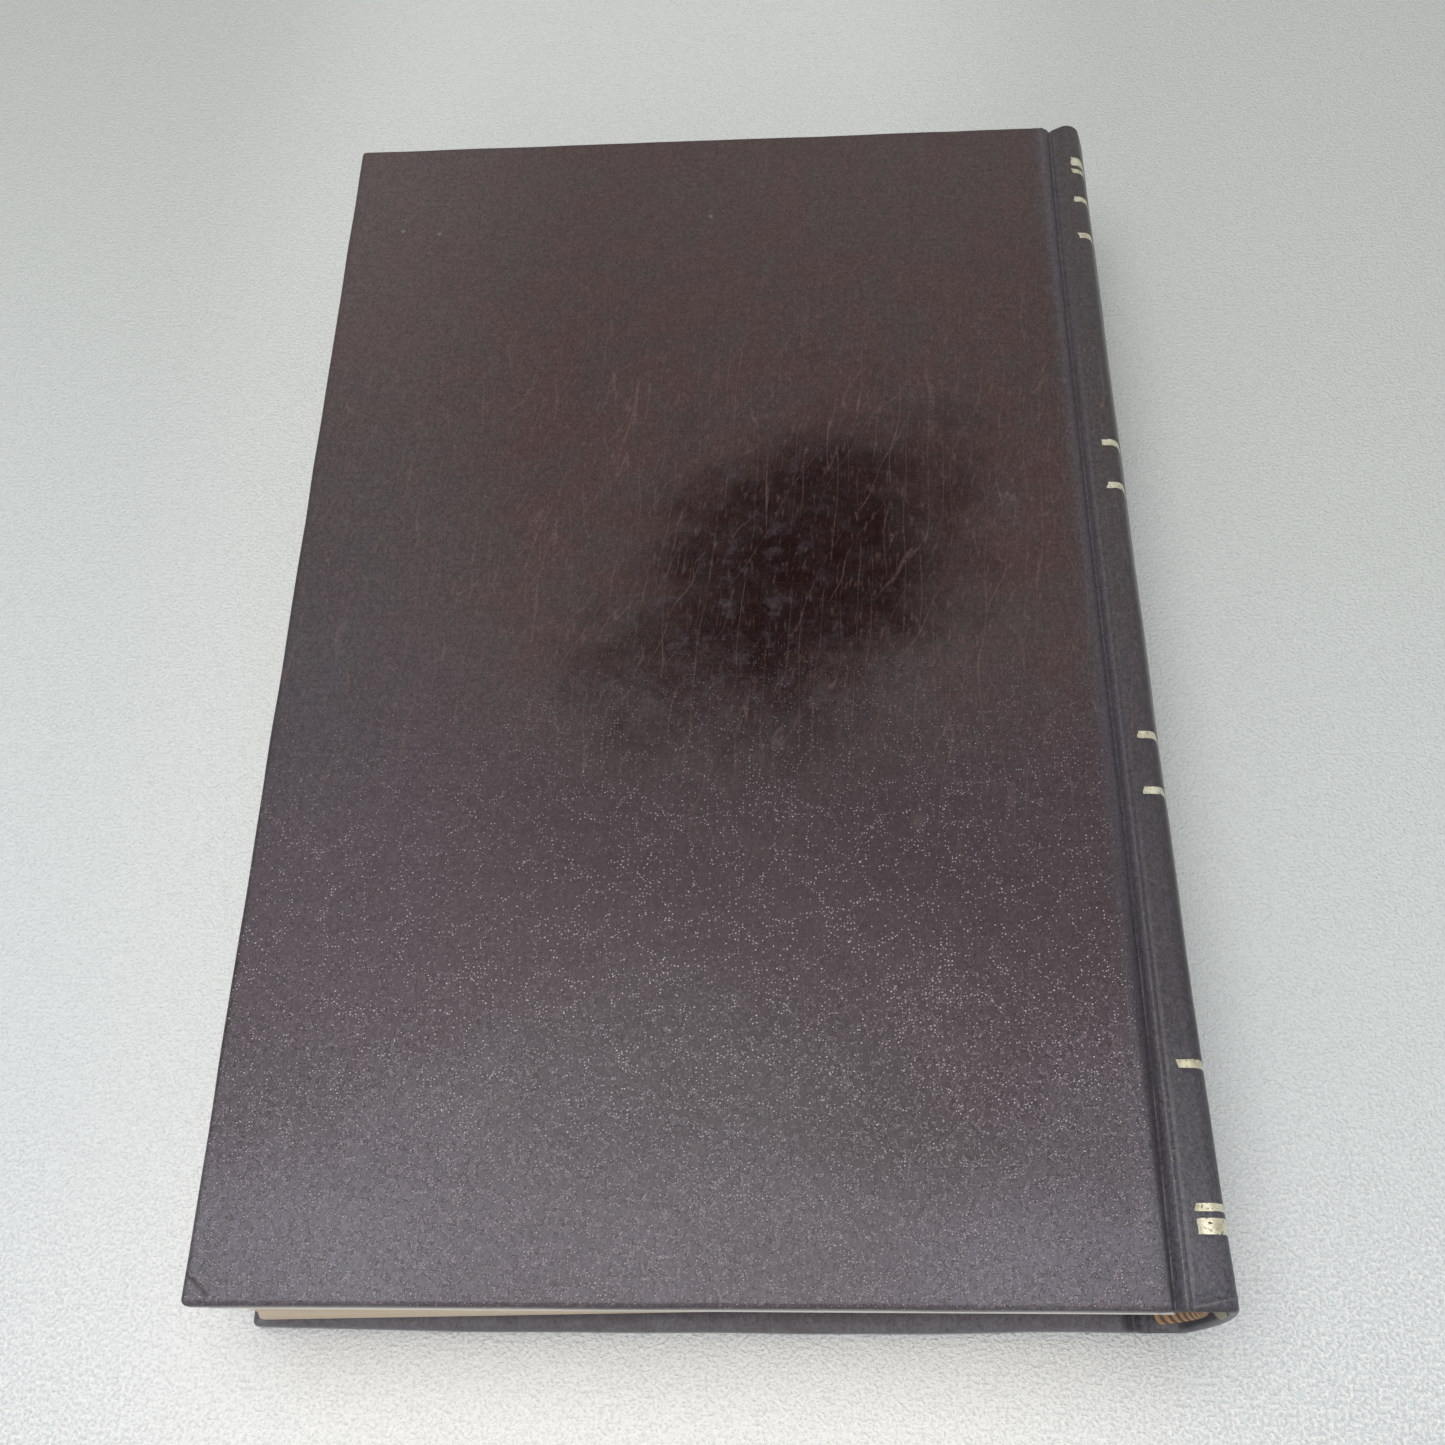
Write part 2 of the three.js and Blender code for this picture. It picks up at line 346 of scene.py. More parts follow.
def new_material(name):
    """An empty material, its Principled shader's inputs, and the place in millimetres."""
    material = bpy.data.materials.new(name)
    material.use_nodes = True
    material.node_tree.nodes.clear()
    TREES.append(material.node_tree)
    shader = add("BsdfPrincipled", {})
    add("OutputMaterial", {0: shader[0]})
    return material, shader.node.inputs, scaled(add("TexCoord", {})["Object"], MM, MM, MM)


def new_group(name, inputs, outputs):
    """An empty node group with named inputs and outputs: its tree and its two ends."""
    tree = bpy.data.node_groups.new(name, "ShaderNodeTree")
    TREES.append(tree)
    for socket, kind in inputs.items():
        tree.interface.new_socket(name=socket, in_out="INPUT", socket_type="NodeSocket" + kind)
    for socket in outputs:
        tree.interface.new_socket(name=socket, in_out="OUTPUT", socket_type="NodeSocketFloat")
    ends = Outputs(tree.nodes.new("NodeGroupInput"))
    return tree, ends, tree.nodes.new("NodeGroupOutput").inputs


def use_group(group, **values):
    """Places a group in a material, with its own values."""
    return add("Group", values, node_tree=group)


def bump(height, distance):
    """A normal that leans as the height does; the distance is in metres."""
    return add("Bump", {"Height": height, "Distance": distance})[0]


# %% [markdown]
# ## The grain of leatherette
#
# Leatherette is paper or cloth with a dark film on it, embossed by a roller. Seen close it
# has four layers. Dimples a quarter of a millimetre wide are strung like beads round smooth
# cells of 5 to 8 mm. Fine creases run mostly along the book. Short wrinkles lie where hands
# have bent the film. Between them is a fine tooth.
#
# The grain is a tenth of a millimetre deep, so patterns in a Bump node give it. The same
# patterns paint light and shade into the colour: a painted glint on each dimple with a painted
# shade beside it, and along each wrinkle a dark line of painted shade with a painted lit crest.

# %% Group: leatherette grain
def shifted(place, scale, reach):
    """The place, pushed about by a cloudy offset of up to half the reach."""
    cloud = add("TexNoise", {"Vector": place, "Scale": scale, "Detail": 2.0})["Color"]
    centred = vector("SUBTRACT", cloud, (0.5, 0.5, 0.5))[0]
    push = add("VectorMath", {0: centred, "Scale": reach}, operation="SCALE")[0]
    return vector("ADD", place, push)[0]


def leaning(place, lean, width, length):
    """The place turned by an angle, then counted in cells of a width and a length."""
    values = {"Vector": place, "Rotation": (0, 0, math.radians(lean)), "Scale": (width, length, width)}
    return add("Mapping", values, vector_type="TEXTURE")[0]


def crease_lines(place, lean, width, length):
    """Wavy lines along the book, one to each width, that come and go over a length."""
    cells = leaning(place, lean, width, length)
    count = noise(cells, 0.8, 1.0) * 2.6 + parts(cells)[0]
    away = abs(calc("FRACT", count) - 0.5)
    line = fade(away, 0.19 / width, 0.0)
    beaded = fade(noise(place, 0.9, 3.0, 0.6), 0.3, 0.6, 0.25, 1.0)
    return line * beaded * fade(noise(cells, 1.1, 3.0), 0.42, 0.56)


def dimple_dots(place, likely):
    """A dot in some cells of a fine flat Voronoi pattern, in more of them where it is likely."""
    bead = add("TexVoronoi", {"Vector": place, "Scale": 1.75}, voronoi_dimensions="2D")
    luck = add("SeparateColor", {0: bead["Color"]})
    kept = fade(likely + luck[0], 0.88, 1.0)
    dot = fade(bead["Distance"], 0.08, luck[1] * 0.2 + 0.22, 1.0, 0.0)
    return dot * kept * (luck[2] * 0.9 + 0.28)


MARKS = ("Height", "DimpleGlints", "Shades", "Creases", "Net", "LitCrests", "Tooth")
grain, ends, out = new_group("leatherette_grain", {"Place": "Vector"}, MARKS)
place = ends["Place"]
net_cells = {"Vector": shifted(place, 0.16, 2.4), "Scale": 0.17}
net_border = add("TexVoronoi", net_cells, feature="DISTANCE_TO_EDGE")["Distance"]
on_net = fade(net_border, 0.0, 0.06, 0.88, 0.04)
likely = on_net + fade(noise(place, 0.09, 3.0), 0.52, 0.72, 0.0, 0.22)
# The dots are dimples in the height and painted glints in the colour; the shifted copy is a painted shade
# beside each.
dimples = dimple_dots(place, likely)
shades = dimple_dots(vector("ADD", place, (0.05, -0.2, 0.0))[0], likely)
steep = crease_lines(place, -4.0, 3.1, 24.0)
slanted = crease_lines(place, -26.0, 4.3, 20.0)
dashes = fade(noise(leaning(place, -6.0, 0.65, 3.2), 1.0, 2.0, 0.6), 0.54, 0.74, 0.0, 0.6)
creases = most(most(steep, slanted * 0.8), dashes)
# The wrinkles give painted shade lines in the colour, and the crests beside them painted highlights.
contour = noise(place, 0.62, 3.0, 0.6) - 0.5
wrinkles = fade(abs(contour), 0.018, 0.0)
lit_crests = fade(abs(contour - 0.032), 0.02, 0.0)
net = most(fade(net_border, 0.0, 0.03, 0.5, 0.0), wrinkles)
tooth = noise(scaled(place, 2.2, 1.3, 2.2), 1.0, 3.0, 0.6)
height = tooth * 0.5 - dimples - creases * 0.3 - net * 0.5
feed(out, dict(zip(MARKS, (height, dimples, shades, creases, net, lit_crests, tooth))))
print("group:", grain.name)

# %% [markdown]
# Handling leaves cloudy changes, such as toned paper and dust, and on the film clouds break up
# the edge of a painted grey reflection. One small group gives such clouds at two sizes, and
# each finish uses it in its own colours.

# %% Group: clouds of wear and painted reflection
clouds, ends, out = new_group("wear_and_reflection_clouds", {"Place": "Vector", "Size": "Float"}, ("Broad", "Mottle"))
place, broad_scale = ends["Place"], calc("DIVIDE", 1.0, ends["Size"])
feed(out, {"Broad": fade(noise(place, broad_scale, 3.0), 0.35, 0.68),
           "Mottle": fade(noise(place, broad_scale * 9.0, 4.0, 0.62), 0.36, 0.66)})
print("group:", clouds.name)

# %% [markdown]
# ## Leatherette
#
# The film is a dark red-brown, slightly blotched with grey-green. Towards the tail and its
# corners it is greyed by a painted reflection. It is also greyer at the head and the edges, and
# cooler on the spine and beside the middle of the fore-edge. Each of these is a mask worked out
# from the place on the book.

# %% The film's own colour
# The darkest colour below also paints the dark reflection, and shade in hollows, wrinkles, beside dimples,
# in the lower groove and along the rims.
DEEP = (0.0115, 0.0012, 0.0012, 1)
FILM = (0.066, 0.034, 0.033, 1)
FILM_DULL = (0.057, 0.037, 0.036, 1)
FILM_PURPLE = (0.052, 0.031, 0.039, 1)
FILM_GREY = (0.128, 0.116, 0.142, 1)
DUSTED = (0.150, 0.124, 0.124, 1)
CREASED = (0.155, 0.100, 0.098, 1)
# Painted highlight colour, for glints on the tooth, the dimples, the crests and the raised grains.
PAINTED_GLINT = (0.68, 0.59, 0.66, 1)
# Scuff colour, also used for a painted highlight along the turned-in sheet's edge.
SCUFF_AND_HIGHLIGHT = (0.30, 0.27, 0.26, 1)
LIP_GREY = (0.20, 0.20, 0.23, 1)
SPINE_GREY = (0.040, 0.052, 0.060, 1)


def film_colour(place, x, y, cloud):
    """The film, more purple towards the tail, greyer at its ends, by a painted reflection at the tail, and
    cooler at its sides.
    """
    blotch = fade(noise(place, 0.1, 3.0, 0.55), 0.36, 0.66)
    # Painted reflection: the film greys towards the tail and its tail corners, where the cover shows a
    # sheen.
    tail_reflection = fade(cloud["Broad"] * 24.0 + y, -50.0, -112.0, 0.0, 0.6)
    to_head = fade(y, 40.0, HEAD, 0.0, 0.2)
    corner_reflection = fade(abs(x + 8.0), 25.0, 62.0) * fade(y, -98.0, -118.0, 0.0, 0.54)
    from_groove = fade(abs(x - (JOINT - 1.2)), 3.0, 0.6)
    beside_groove = from_groove * fade(y, -60.0, -110.0, 0.0, 0.22)
    to_fore = fade(x, -22.0, FORE) * 0.3
    on_spine = fade(x, JOINT - 1, JOINT + 1.5) * 0.23
    grey_share = tail_reflection + to_head + corner_reflection + beside_groove + most(to_fore, on_spine)
    grey = mix(fade(y, -30.0, 50.0), FILM_GREY, DUSTED)
    cooler = fade(x, -38.0, -76.0) * fade(abs(y - 8.0), 25.0, 60.0, 0.26, 0.0)
    cooler = most(cooler, fade(x, JOINT - 3.0, JOINT + 3.5, 0.0, 0.38))
    return layered(FILM, (blotch, FILM_DULL), (fade(y, 6.0, -46.0), FILM_PURPLE),
                   (calc("MINIMUM", grey_share, 1.0), grey), (cooler, SPINE_GREY))


# %% [markdown]
# Near the middle a painted dark reflection is nearly black, with a faint painted trail towards
# the tail. It is an oval whose border is moved by noise. The fine tooth gets painted shade in its
# hollows and painted highlights on its tips, most towards the tail.

# %% The painted reflection and the tooth's painted light and shade
# The painted dark reflection near the middle: its centre and its ragged oval mask.
REFLECTION_CENTRE = (14.5, 8.5, TOP)


def reflection_zone(place):
    """1 inside a leaning oval with a ragged border, 0 outside."""
    values = {"Vector": place, "Location": REFLECTION_CENTRE, "Rotation": (0, 0, math.radians(-40)),
              "Scale": (1.0, 1.45, 1.0)}
    oval = add("Mapping", values, vector_type="TEXTURE")[0]
    away = vector("LENGTH", oval)["Value"]
    inside = fade(away - noise(place, 0.07, 6.0, 0.68) * 38.0, 23.5, -11.0)
    return inside * fade(noise(place, 0.17, 5.0, 0.65), 0.34, 0.56, 0.86, 1.0)


def reflection_and_tooth_colour(colour, place, x, y, marks, cloud, dark_reflection):
    """The colour with the tooth's painted shade and highlights, the painted dark reflection, its trail and
    the grey haze in it.
    """
    # Painted shade in the tooth's hollows and painted highlights on its tips, stronger towards the tail.
    tail_boost = fade(y, -50.0, -92.0, 1.0, 2.0)
    shaded_hollows = fade(marks["Tooth"], 0.34, 0.54, 0.13, 0.0) * tail_boost
    lit_tips = fade(marks["Tooth"], 0.54, 0.74, 0.0, 0.045) * tail_boost
    # A faint painted trail of the dark reflection, towards the tail.
    reflection_trail = fade(abs(x - 10.0), 10.0, 60.0, 0.4, 0.0) * fade(y, -5.0, -35.0)
    reflection_trail = reflection_trail * fade(y, -112.0, -94.0)
    # Grey haze painted inside the dark reflection.
    reflection_haze = fade(noise(place, 0.24, 4.0, 0.6), 0.52, 0.68) * fade(x, 36.0, 4.0, 0.0, 0.22) * dark_reflection
    return layered(colour, (shaded_hollows, DEEP), (lit_tips, PAINTED_GLINT), (dark_reflection, DEEP), (reflection_trail, DEEP),
                   (cloud["Mottle"] * 0.03, FILM_GREY), (reflection_haze, FILM_GREY))


# %% [markdown]
# The grain's marks show unevenly: the creases most in the middle, the dimples in the tail
# half, the wrinkles only near the tail. A dimple is a painted glint with a painted shade beside
# it, and a wrinkle a line of painted shade with a painted highlight on its crest. All but the
# creases stay off the turned-in flaps, and nearly off the spine.

# %% The marks of the grain
def marked_colour(colour, x, y, outside, marks):
    """The colour with creases, and with the painted shade and highlights of wrinkles and dimples, each
    where the film shows them.
    """
    creased = fade(y, -70.0, 0.0, 0.12, 0.56) * fade(y, 50.0, 90.0, 1.0, 0.3)
    shown = outside * fade(x, JOINT, JOINT + 2, 1.0, 0.12)
    low_half = fade(y, 14.0, -76.0, 0.0, 0.95) * fade(y, -84.0, -112.0, 1.0, 0.7) * shown
    wrinkling = fade(y, -50.0, -92.0, 0.0, 0.6)
    # Painted shade: the net's lines and the wrinkles near the tail, and a dark dot beside each dimple.
    painted_shade = most(marks["Net"] * wrinkling, marks["Shades"] * 0.7)
    return layered(colour, (marks["Creases"] * creased, CREASED),
                   (marks["LitCrests"] * wrinkling * 0.42 * shown, PAINTED_GLINT),
                   (painted_shade * low_half, DEEP), (marks["DimpleGlints"] * low_half, PAINTED_GLINT))


# %% [markdown]
# Last come the traces of use and some painted light and shade, each in its own place: painted
# light that softens the groove's shade, painted shade in the groove near the tail and along the
# rims, two scratches and a tucked corner as hair-thin arcs, three raised grains near the head
# with a painted glint, flakes off the ridge, a painted highlight along the edge of the
# turned-in sheet, and painted light on the lip of the lower cover.

# %% Scratches, rims and flakes
SHEET_EDGE_SLOPE = 0.2
SHEET_EDGE = TAIL + 0.7 - SHEET_EDGE_SLOPE * (JOINT + 5)


def hair_line(place, y, centre, radius, width, low, high, taper=4.0):
    """A hair-thin arc: where the distance from a centre is the radius, between two heights."""
    away = vector("DISTANCE", place, centre)["Value"]
    line = fade(abs(away - radius), width, 0.0)
    return line * fade(y, low, low + taper) * fade(y, high, high - taper)


def raised_grains(place):
    """1 on three tiny raised grains in the film near the head edge."""
    highest = 0.0
    for spot in ((-70.0, 97.9, TOP), (-61.9, 96.9, TOP), (-2.7, 99.4, TOP)):
        away = vector("DISTANCE", place, spot)["Value"]
        highest = most(highest, fade(away, 0.7, 0.3))
    return highest


def near_rim(x, y, reach):
    """1 at the board's tail, head and fore edges, falling to 0 a reach inside them."""
    return fade(most(abs(y) - HEAD, FORE - x), -reach, -0.1)


def wear_and_light_colour(colour, place, x, y, z, outside, cloud):
    """The colour with traces of use and painted light and shade, and the height that the traces add to the
    grain.
    """
    # Painted light: the groove's film is made paler to soften the groove's shade.
    groove_light = fade(x, JOINT + 0.6, JOINT + 1.8) * fade(x, JOINT + 3.6, JOINT + 5.2, 0.37, 0.0)
    # Painted shade in the groove near the tail, and along the board's rims below.
    groove_shade = fade(x, JOINT + 0.2, JOINT + 1.8) * fade(x, JOINT + 4.0, JOINT + 3.1)
    groove_shade = groove_shade * fade(y, -40.0, -85.0, 0.0, 0.2)
    rim = near_rim(x, y, 1.3) * outside * 0.45
    long_arc = hair_line(place, y, (58.0, -80.0, TOP), 38.0, 0.3, -106.0, -58.0)
    short_arc = hair_line(place, y, (52.0, -104.0, TOP), 54.5, 0.25, -57.5, -50.0)
    scratches = most(long_arc, short_arc)
    tuck = hair_line(place, y, (-96.0, -139.0, TOP), 25.6, 0.6, -121.4, -117.6, 0.8)
    raised = raised_grains(place)
    torn = fade(noise(place, 0.9, 4.0, 0.7), 0.52, 0.7, 0.0, 0.22)
    on_ridge = fade(abs(x - (JOINT + 4.2)), 1.1, 0.2) * fade(y, -84.0, -100.0, 0.18, 1.0)
    flaked = on_ridge * fade(noise(place, 1.6, 4.0, 0.7), 0.52, 0.66)
    # Painted highlight along the edge of the turned-in sheet, in the scuff colour.
    from_edge = y - x * SHEET_EDGE_SLOPE - SHEET_EDGE
    sheet_edge_highlight = fade(abs(from_edge), 0.05, 0.3, 0.24, 0.0) * fade(x, JOINT + 4.6, JOINT + 6)
    # Painted light in blotches on the tail lip of the lower cover, which lies in shade.
    lower_lip = fade(y, TAIL + 4, TAIL + 1) * fade(z, COVER + 1, COVER)
    lip_light = fade(noise(place, 0.3, 4.0, 0.6), 0.4, 0.66, 0.24, 0.5)
    colour = layered(colour, (groove_light, FILM_GREY), (most(rim, groove_shade), DEEP),
                     (scratches * cloud["Mottle"] * 0.2, SCUFF_AND_HIGHLIGHT), (tuck * 0.6, DEEP),
                     (raised * 0.13, PAINTED_GLINT), (near_rim(x, y, 0.7) * torn, SCUFF_AND_HIGHLIGHT),
                     (flaked * 0.8, SCUFF_AND_HIGHLIGHT), (sheet_edge_highlight, SCUFF_AND_HIGHLIGHT), (lower_lip * lip_light, LIP_GREY))
    return colour, (flaked + raised) * 0.8 - (scratches + tuck) * 0.6


# %% [markdown]
# The film is a little glossy under a clear coat, which is left off where the dark reflection is painted.

# %% Finish: leatherette
def leatherette():
    """Dark embossed film, scuffed by use, with a painted dark reflection, painted sheen, and painted light
    and shade.
    """
    material, inputs, place = new_material("leatherette")
    x, y, z = parts(place)
    marks = use_group(grain, Place=place)
    cloud = use_group(clouds, Place=place, Size=48.0)
    dark_reflection = reflection_zone(place)
    outside = calc("GREATER_THAN", abs(z - TOP / 2), TOP / 2 - 1.0)
    colour = film_colour(place, x, y, cloud)
    colour = reflection_and_tooth_colour(colour, place, x, y, marks, cloud, dark_reflection)
    colour = marked_colour(colour, x, y, outside, marks)
    colour, worn = wear_and_light_colour(colour, place, x, y, z, outside, cloud)
    feed(inputs, {"Base Color": colour, "Roughness": cloud["Mottle"] * 0.08 + 0.40,
                  "Specular IOR Level": 0.1, "Coat Roughness": 0.36,
                  "Coat Weight": fade(dark_reflection, 0.0, 1.0, 0.5, 0.0),
                  "Normal": bump(marks["Height"] + worn, 0.00018)})
    return material, "leatherette"


LEATHERETTE = leatherette()
print("finish:", LEATHERETTE[0].name)

# %% [markdown]
# ## Board, paper and cloth
#
# The boards are grey millboard, flecked with pulp. Page paper has browned and is streaked
# near its edges, and has a few rusty spots. The endpapers are whiter, and whiter still at their
# edges, which is painted light on edges that lie in shade. Mull is an open cloth of thin thread,
# and the tapes are a close plain weave.

# %% Finishes: board, paper, cloth
FLECK_DARK, FLECK_PALE = (0.20, 0.17, 0.14, 1), (0.40, 0.36, 0.30, 1)
RUST = (0.30, 0.17, 0.08, 1)
SLUB = (0.36, 0.31, 0.24, 1)


def millboard():
    """Grey board with darker and lighter flecks of pulp."""
    material, inputs, place = new_material("millboard")
    fleck = fade(noise(place, 1.4, 5.0, 0.7), 0.44, 0.62)
    feed(inputs, {"Base Color": mix(fleck, FLECK_DARK, FLECK_PALE), "Roughness": 0.92,
                  "Normal": bump(fleck, 0.0001)})
    return material, "binder_board"


def paper(name, slot, edge_width, spots, pale, edge_tint, aged):
    """Old paper: one tint inside and another near its edges, streaks there, and rusty spots."""
    material, inputs, place = new_material(name)
    x, y, _ = parts(place)
    cloud = use_group(clouds, Place=place, Size=35.0)
    from_edge = most(abs(y) - (HEAD - 4), FORE + 3 - x)
    towards_edge = fade(cloud["Broad"] * (edge_width / 2) + from_edge, -edge_width, 1.0)
    colour = mix(calc("POWER", towards_edge, 1.6), (*pale, 1), (*edge_tint, 1))
    streak = fade(noise(scaled(place, 0.03, 0.03, 1.1), 1.0, 5.0, 0.7), 0.4, 0.6)
    at_edges = fade(from_edge, -9.0, -4.5, 0.06, 0.4)
    colour = mix(streak * at_edges, colour, (*aged, 1))
    rust = fade(noise(place, 0.16, 6.0, 0.75), 0.66, 0.74)
    feed(inputs, {"Base Color": mix(rust * spots, colour, RUST), "Roughness": 0.85,
                  "Specular IOR Level": 0.25, "Normal": bump(noise(place, 2.2, 5.0, 0.7), 0.00006)})
    return material, slot


def woven(name, warp, weft, pitch, gloss):
    """Plain weave: two sets of round threads that pass over each other in turn."""
    material, inputs, place = new_material(name)
    _, y, z = parts(place)
    along, across = [abs(calc("SINE", way * (math.pi / pitch))) for way in (y, z)]
    slub = fade(noise(place, 1.2, 4.0), 0.3, 0.7)
    colour = mix(calc("GREATER_THAN", along, across), (*warp, 1), (*weft, 1))
    feed(inputs, {"Base Color": mix(slub * 0.35, colour, SLUB), "Roughness": gloss,
                  "Normal": bump(most(along, across), 0.0001)})
    return material, "cloth"


MILLBOARD = millboard()
# The endpaper's edge tint is whiter than its middle: painted light on its edges, which lie in shade under
# the cover.
ENDPAPER = paper("endpaper", "endpaper", 14.0, 0.2,
                 (0.87, 0.845, 0.785), (0.91, 0.89, 0.84), (0.90, 0.87, 0.80))
PAGES = paper("page_paper", "page_paper", 12.0, 0.45,
              (0.84, 0.79, 0.69), (0.74, 0.64, 0.52), (0.50, 0.40, 0.30))
LINING = paper("lining_paper", "lining_paper", 20.0, 0.2,
               (0.36, 0.27, 0.17), (0.26, 0.18, 0.10), (0.26, 0.18, 0.10))
HOLLOW = paper("hollow_paper", "lining_paper", 20.0, 0.2,
               (0.60, 0.58, 0.50), (0.52, 0.49, 0.40), (0.42, 0.39, 0.31))
MULL = woven("mull_cloth", (0.62, 0.59, 0.50), (0.52, 0.49, 0.40), 0.8, 0.95)
TAPE = woven("tape_cloth", (0.66, 0.62, 0.52), (0.58, 0.54, 0.44), 0.45, 0.9)
for material, _ in (MILLBOARD, ENDPAPER, PAGES, LINING, HOLLOW, MULL, TAPE):
    print("finish:", material.name)

# %% [markdown]
# ## Gilt and silk
#
# The lines on the spine are gold-coloured foil, pressed in hot. Use has pitted it, and the
# film shows at the pits. The end bands are silk thread wound over a cord, in two colours by
# turns. The band's own UV map counts the turns, so the colours follow the winding.

# %% Finishes: gilt and silk
FOIL_BRIGHT, FOIL_THIN, PITTED = (0.84, 0.80, 0.64, 1), (0.56, 0.50, 0.34, 1), (0.06, 0.04, 0.035, 1)
SILK_GOLD, SILK_BROWN, SOIL = (0.64, 0.31, 0.095, 1), (0.06, 0.03, 0.02, 1), (0.20, 0.15, 0.10, 1)
TURNS_A_STRIPE = 4.0


def gilt():
    """Pale foil with pits and rubbed patches where the dark film shows."""
    material, inputs, place = new_material("gilt")
    pits = fade(noise(place, 2.3, 4.0, 0.68), 0.42, 0.33)
    foil = mix(fade(noise(place, 0.5, 3.0, 0.6), 0.35, 0.75), FOIL_BRIGHT, FOIL_THIN)
    feed(inputs, {"Base Color": mix(pits, foil, PITTED), "Metallic": 0.55 - pits * 0.5,
                  "Roughness": pits * 0.3 + 0.34, "Normal": bump(pits, -0.00008)})
    return material, "gilt"


def silk():
    """Silk thread in two colours, which change every second turn."""
    material, inputs, place = new_material("band_silk")
    turns = parts(add("TexCoord", {})["UV"])[0]
    second = fade(calc("FRACT", turns * (1 / TURNS_A_STRIPE)), 0.5, 0.58)
    soiled = fade(noise(place, 0.8, 4.0), 0.35, 0.7)
    colour = mix(soiled * 0.4, mix(second, SILK_GOLD, SILK_BROWN), SOIL)
    fibre = calc("SINE", turns * (2 * math.pi * 5))
    feed(inputs, {"Base Color": colour, "Roughness": 0.55, "Sheen Weight": 0.3,
                  "Normal": bump(fibre, 0.00003)})
    return material, "band_silk"


GILT, SILK = gilt(), silk()
print("finishes:", GILT[0].name, SILK[0].name)

# %% [markdown]
# ## The outline of the case
#
# Cut across, the case is flat over the boards, dips into the groove, turns a round corner and
# runs over the back in a shallow arc. The covering pieces, the card and the gilt all lie on
# this outline. It is unrolled: `u` is the way along the surface, and equals X on the flat. The
# spine is a little wider at the tail, so the corner's place changes along the book.

# %% The outline, unrolled
CORNER_RADIUS = 2.3
TAIL_CORNER = JOINT + 9.7
CORNER_DRAW = 1.7
BACK_DRAW = 0.6
SEAM_DROP = 7.5


def share_of_height(y):
    """0 at the tail and 1 at the head."""
    return np.clip((y - TAIL) / HEIGHT, 0, 1)


def spine_section(y):
    """The corner's centre, and the back's half turn, radius and centre, at a height.

    The back's arc runs into the corner's arc without a kink when half its turn is twice the
    arctangent of its bulge over half its span.
    """
    drawn = 1 - (1 - share_of_height(y)) ** 4
    corner = TAIL_CORNER - CORNER_DRAW * drawn
    farthest = SPINE_OUT - BACK_DRAW * drawn
    half_span = TOP / 2 - CORNER_RADIUS
    half_turn = 2 * np.arctan((farthest - corner - CORNER_RADIUS) / half_span)
    radius = CORNER_RADIUS + half_span / np.sin(half_turn)
    return corner, half_turn, radius, farthest - radius


def outline(u, y, depth):
    """X and Z of the upper half of the outline, a depth below the surface."""
    corner, half_turn, radius, centre = spine_section(y)
    arc = CORNER_RADIUS * (np.pi / 2 - half_turn)
    round_corner = np.clip(u - corner, 0, arc)
    over_back = np.maximum(u - corner - arc, 0)
    turn = np.pi / 2 - round_corner / CORNER_RADIUS - over_back / radius
    on_back = over_back > 0
    reach = np.where(on_back, radius, CORNER_RADIUS) - depth
    x = np.where(on_back, centre, corner) + reach * np.cos(turn) + np.minimum(u - corner, 0)
    z = np.where(on_back, TOP / 2, TOP - CORNER_RADIUS) + reach * np.sin(turn)
    return x, z


def along_back(y, drop):
    """How far along the outline a point of the back lies that is a drop below the top."""
    corner, half_turn, radius, _ = spine_section(y)
    turn = np.arcsin((TOP / 2 - drop) / radius)
    return corner + CORNER_RADIUS * (np.pi / 2 - half_turn) + radius * (half_turn - turn)


def middle_of_back(y):
    """How far along the outline the middle of the back lies."""
    return along_back(y, TOP / 2)


def seam_on_back(y):
    """How far along the outline the corner piece ends and the back piece begins."""
    return along_back(y, SEAM_DROP)


print(f"outline: {middle_of_back(0.0) - JOINT:.1f} mm from the board's edge to the middle of the back")

# %% [markdown]
# ## Relief on the case
#
# The groove is a broad dip with a narrow crease at its bottom and a ridge beside it, wide and
# tall at the head. Near the tail the edge of the turned-in sheet shows through as a slanting
# line. The gilt lines sit in shallow stamped channels. All of that is one height over the
# outline, so neighbouring pieces agree. The lower side rests on the table, so nothing stands
# out there.

# %% The relief as a height over the surface
UPPER, LOWER = 11, 21
GROOVE_DEPTH = 0.95
CREASE_DEPTH = 0.5
CREASE_WIDTH = 0.42
STAMP_DEPTH = 0.12
LONG_ROLL, SHORT_ROLL = 0.05, 0.022
GILT_START = JOINT + 6.8
gilt_boxes = [node_box(f"gilt_line_{number:02d}") for number in range(1, 12)]
GILT_LINES = [(low[1], high[1]) for low, high in gilt_boxes]


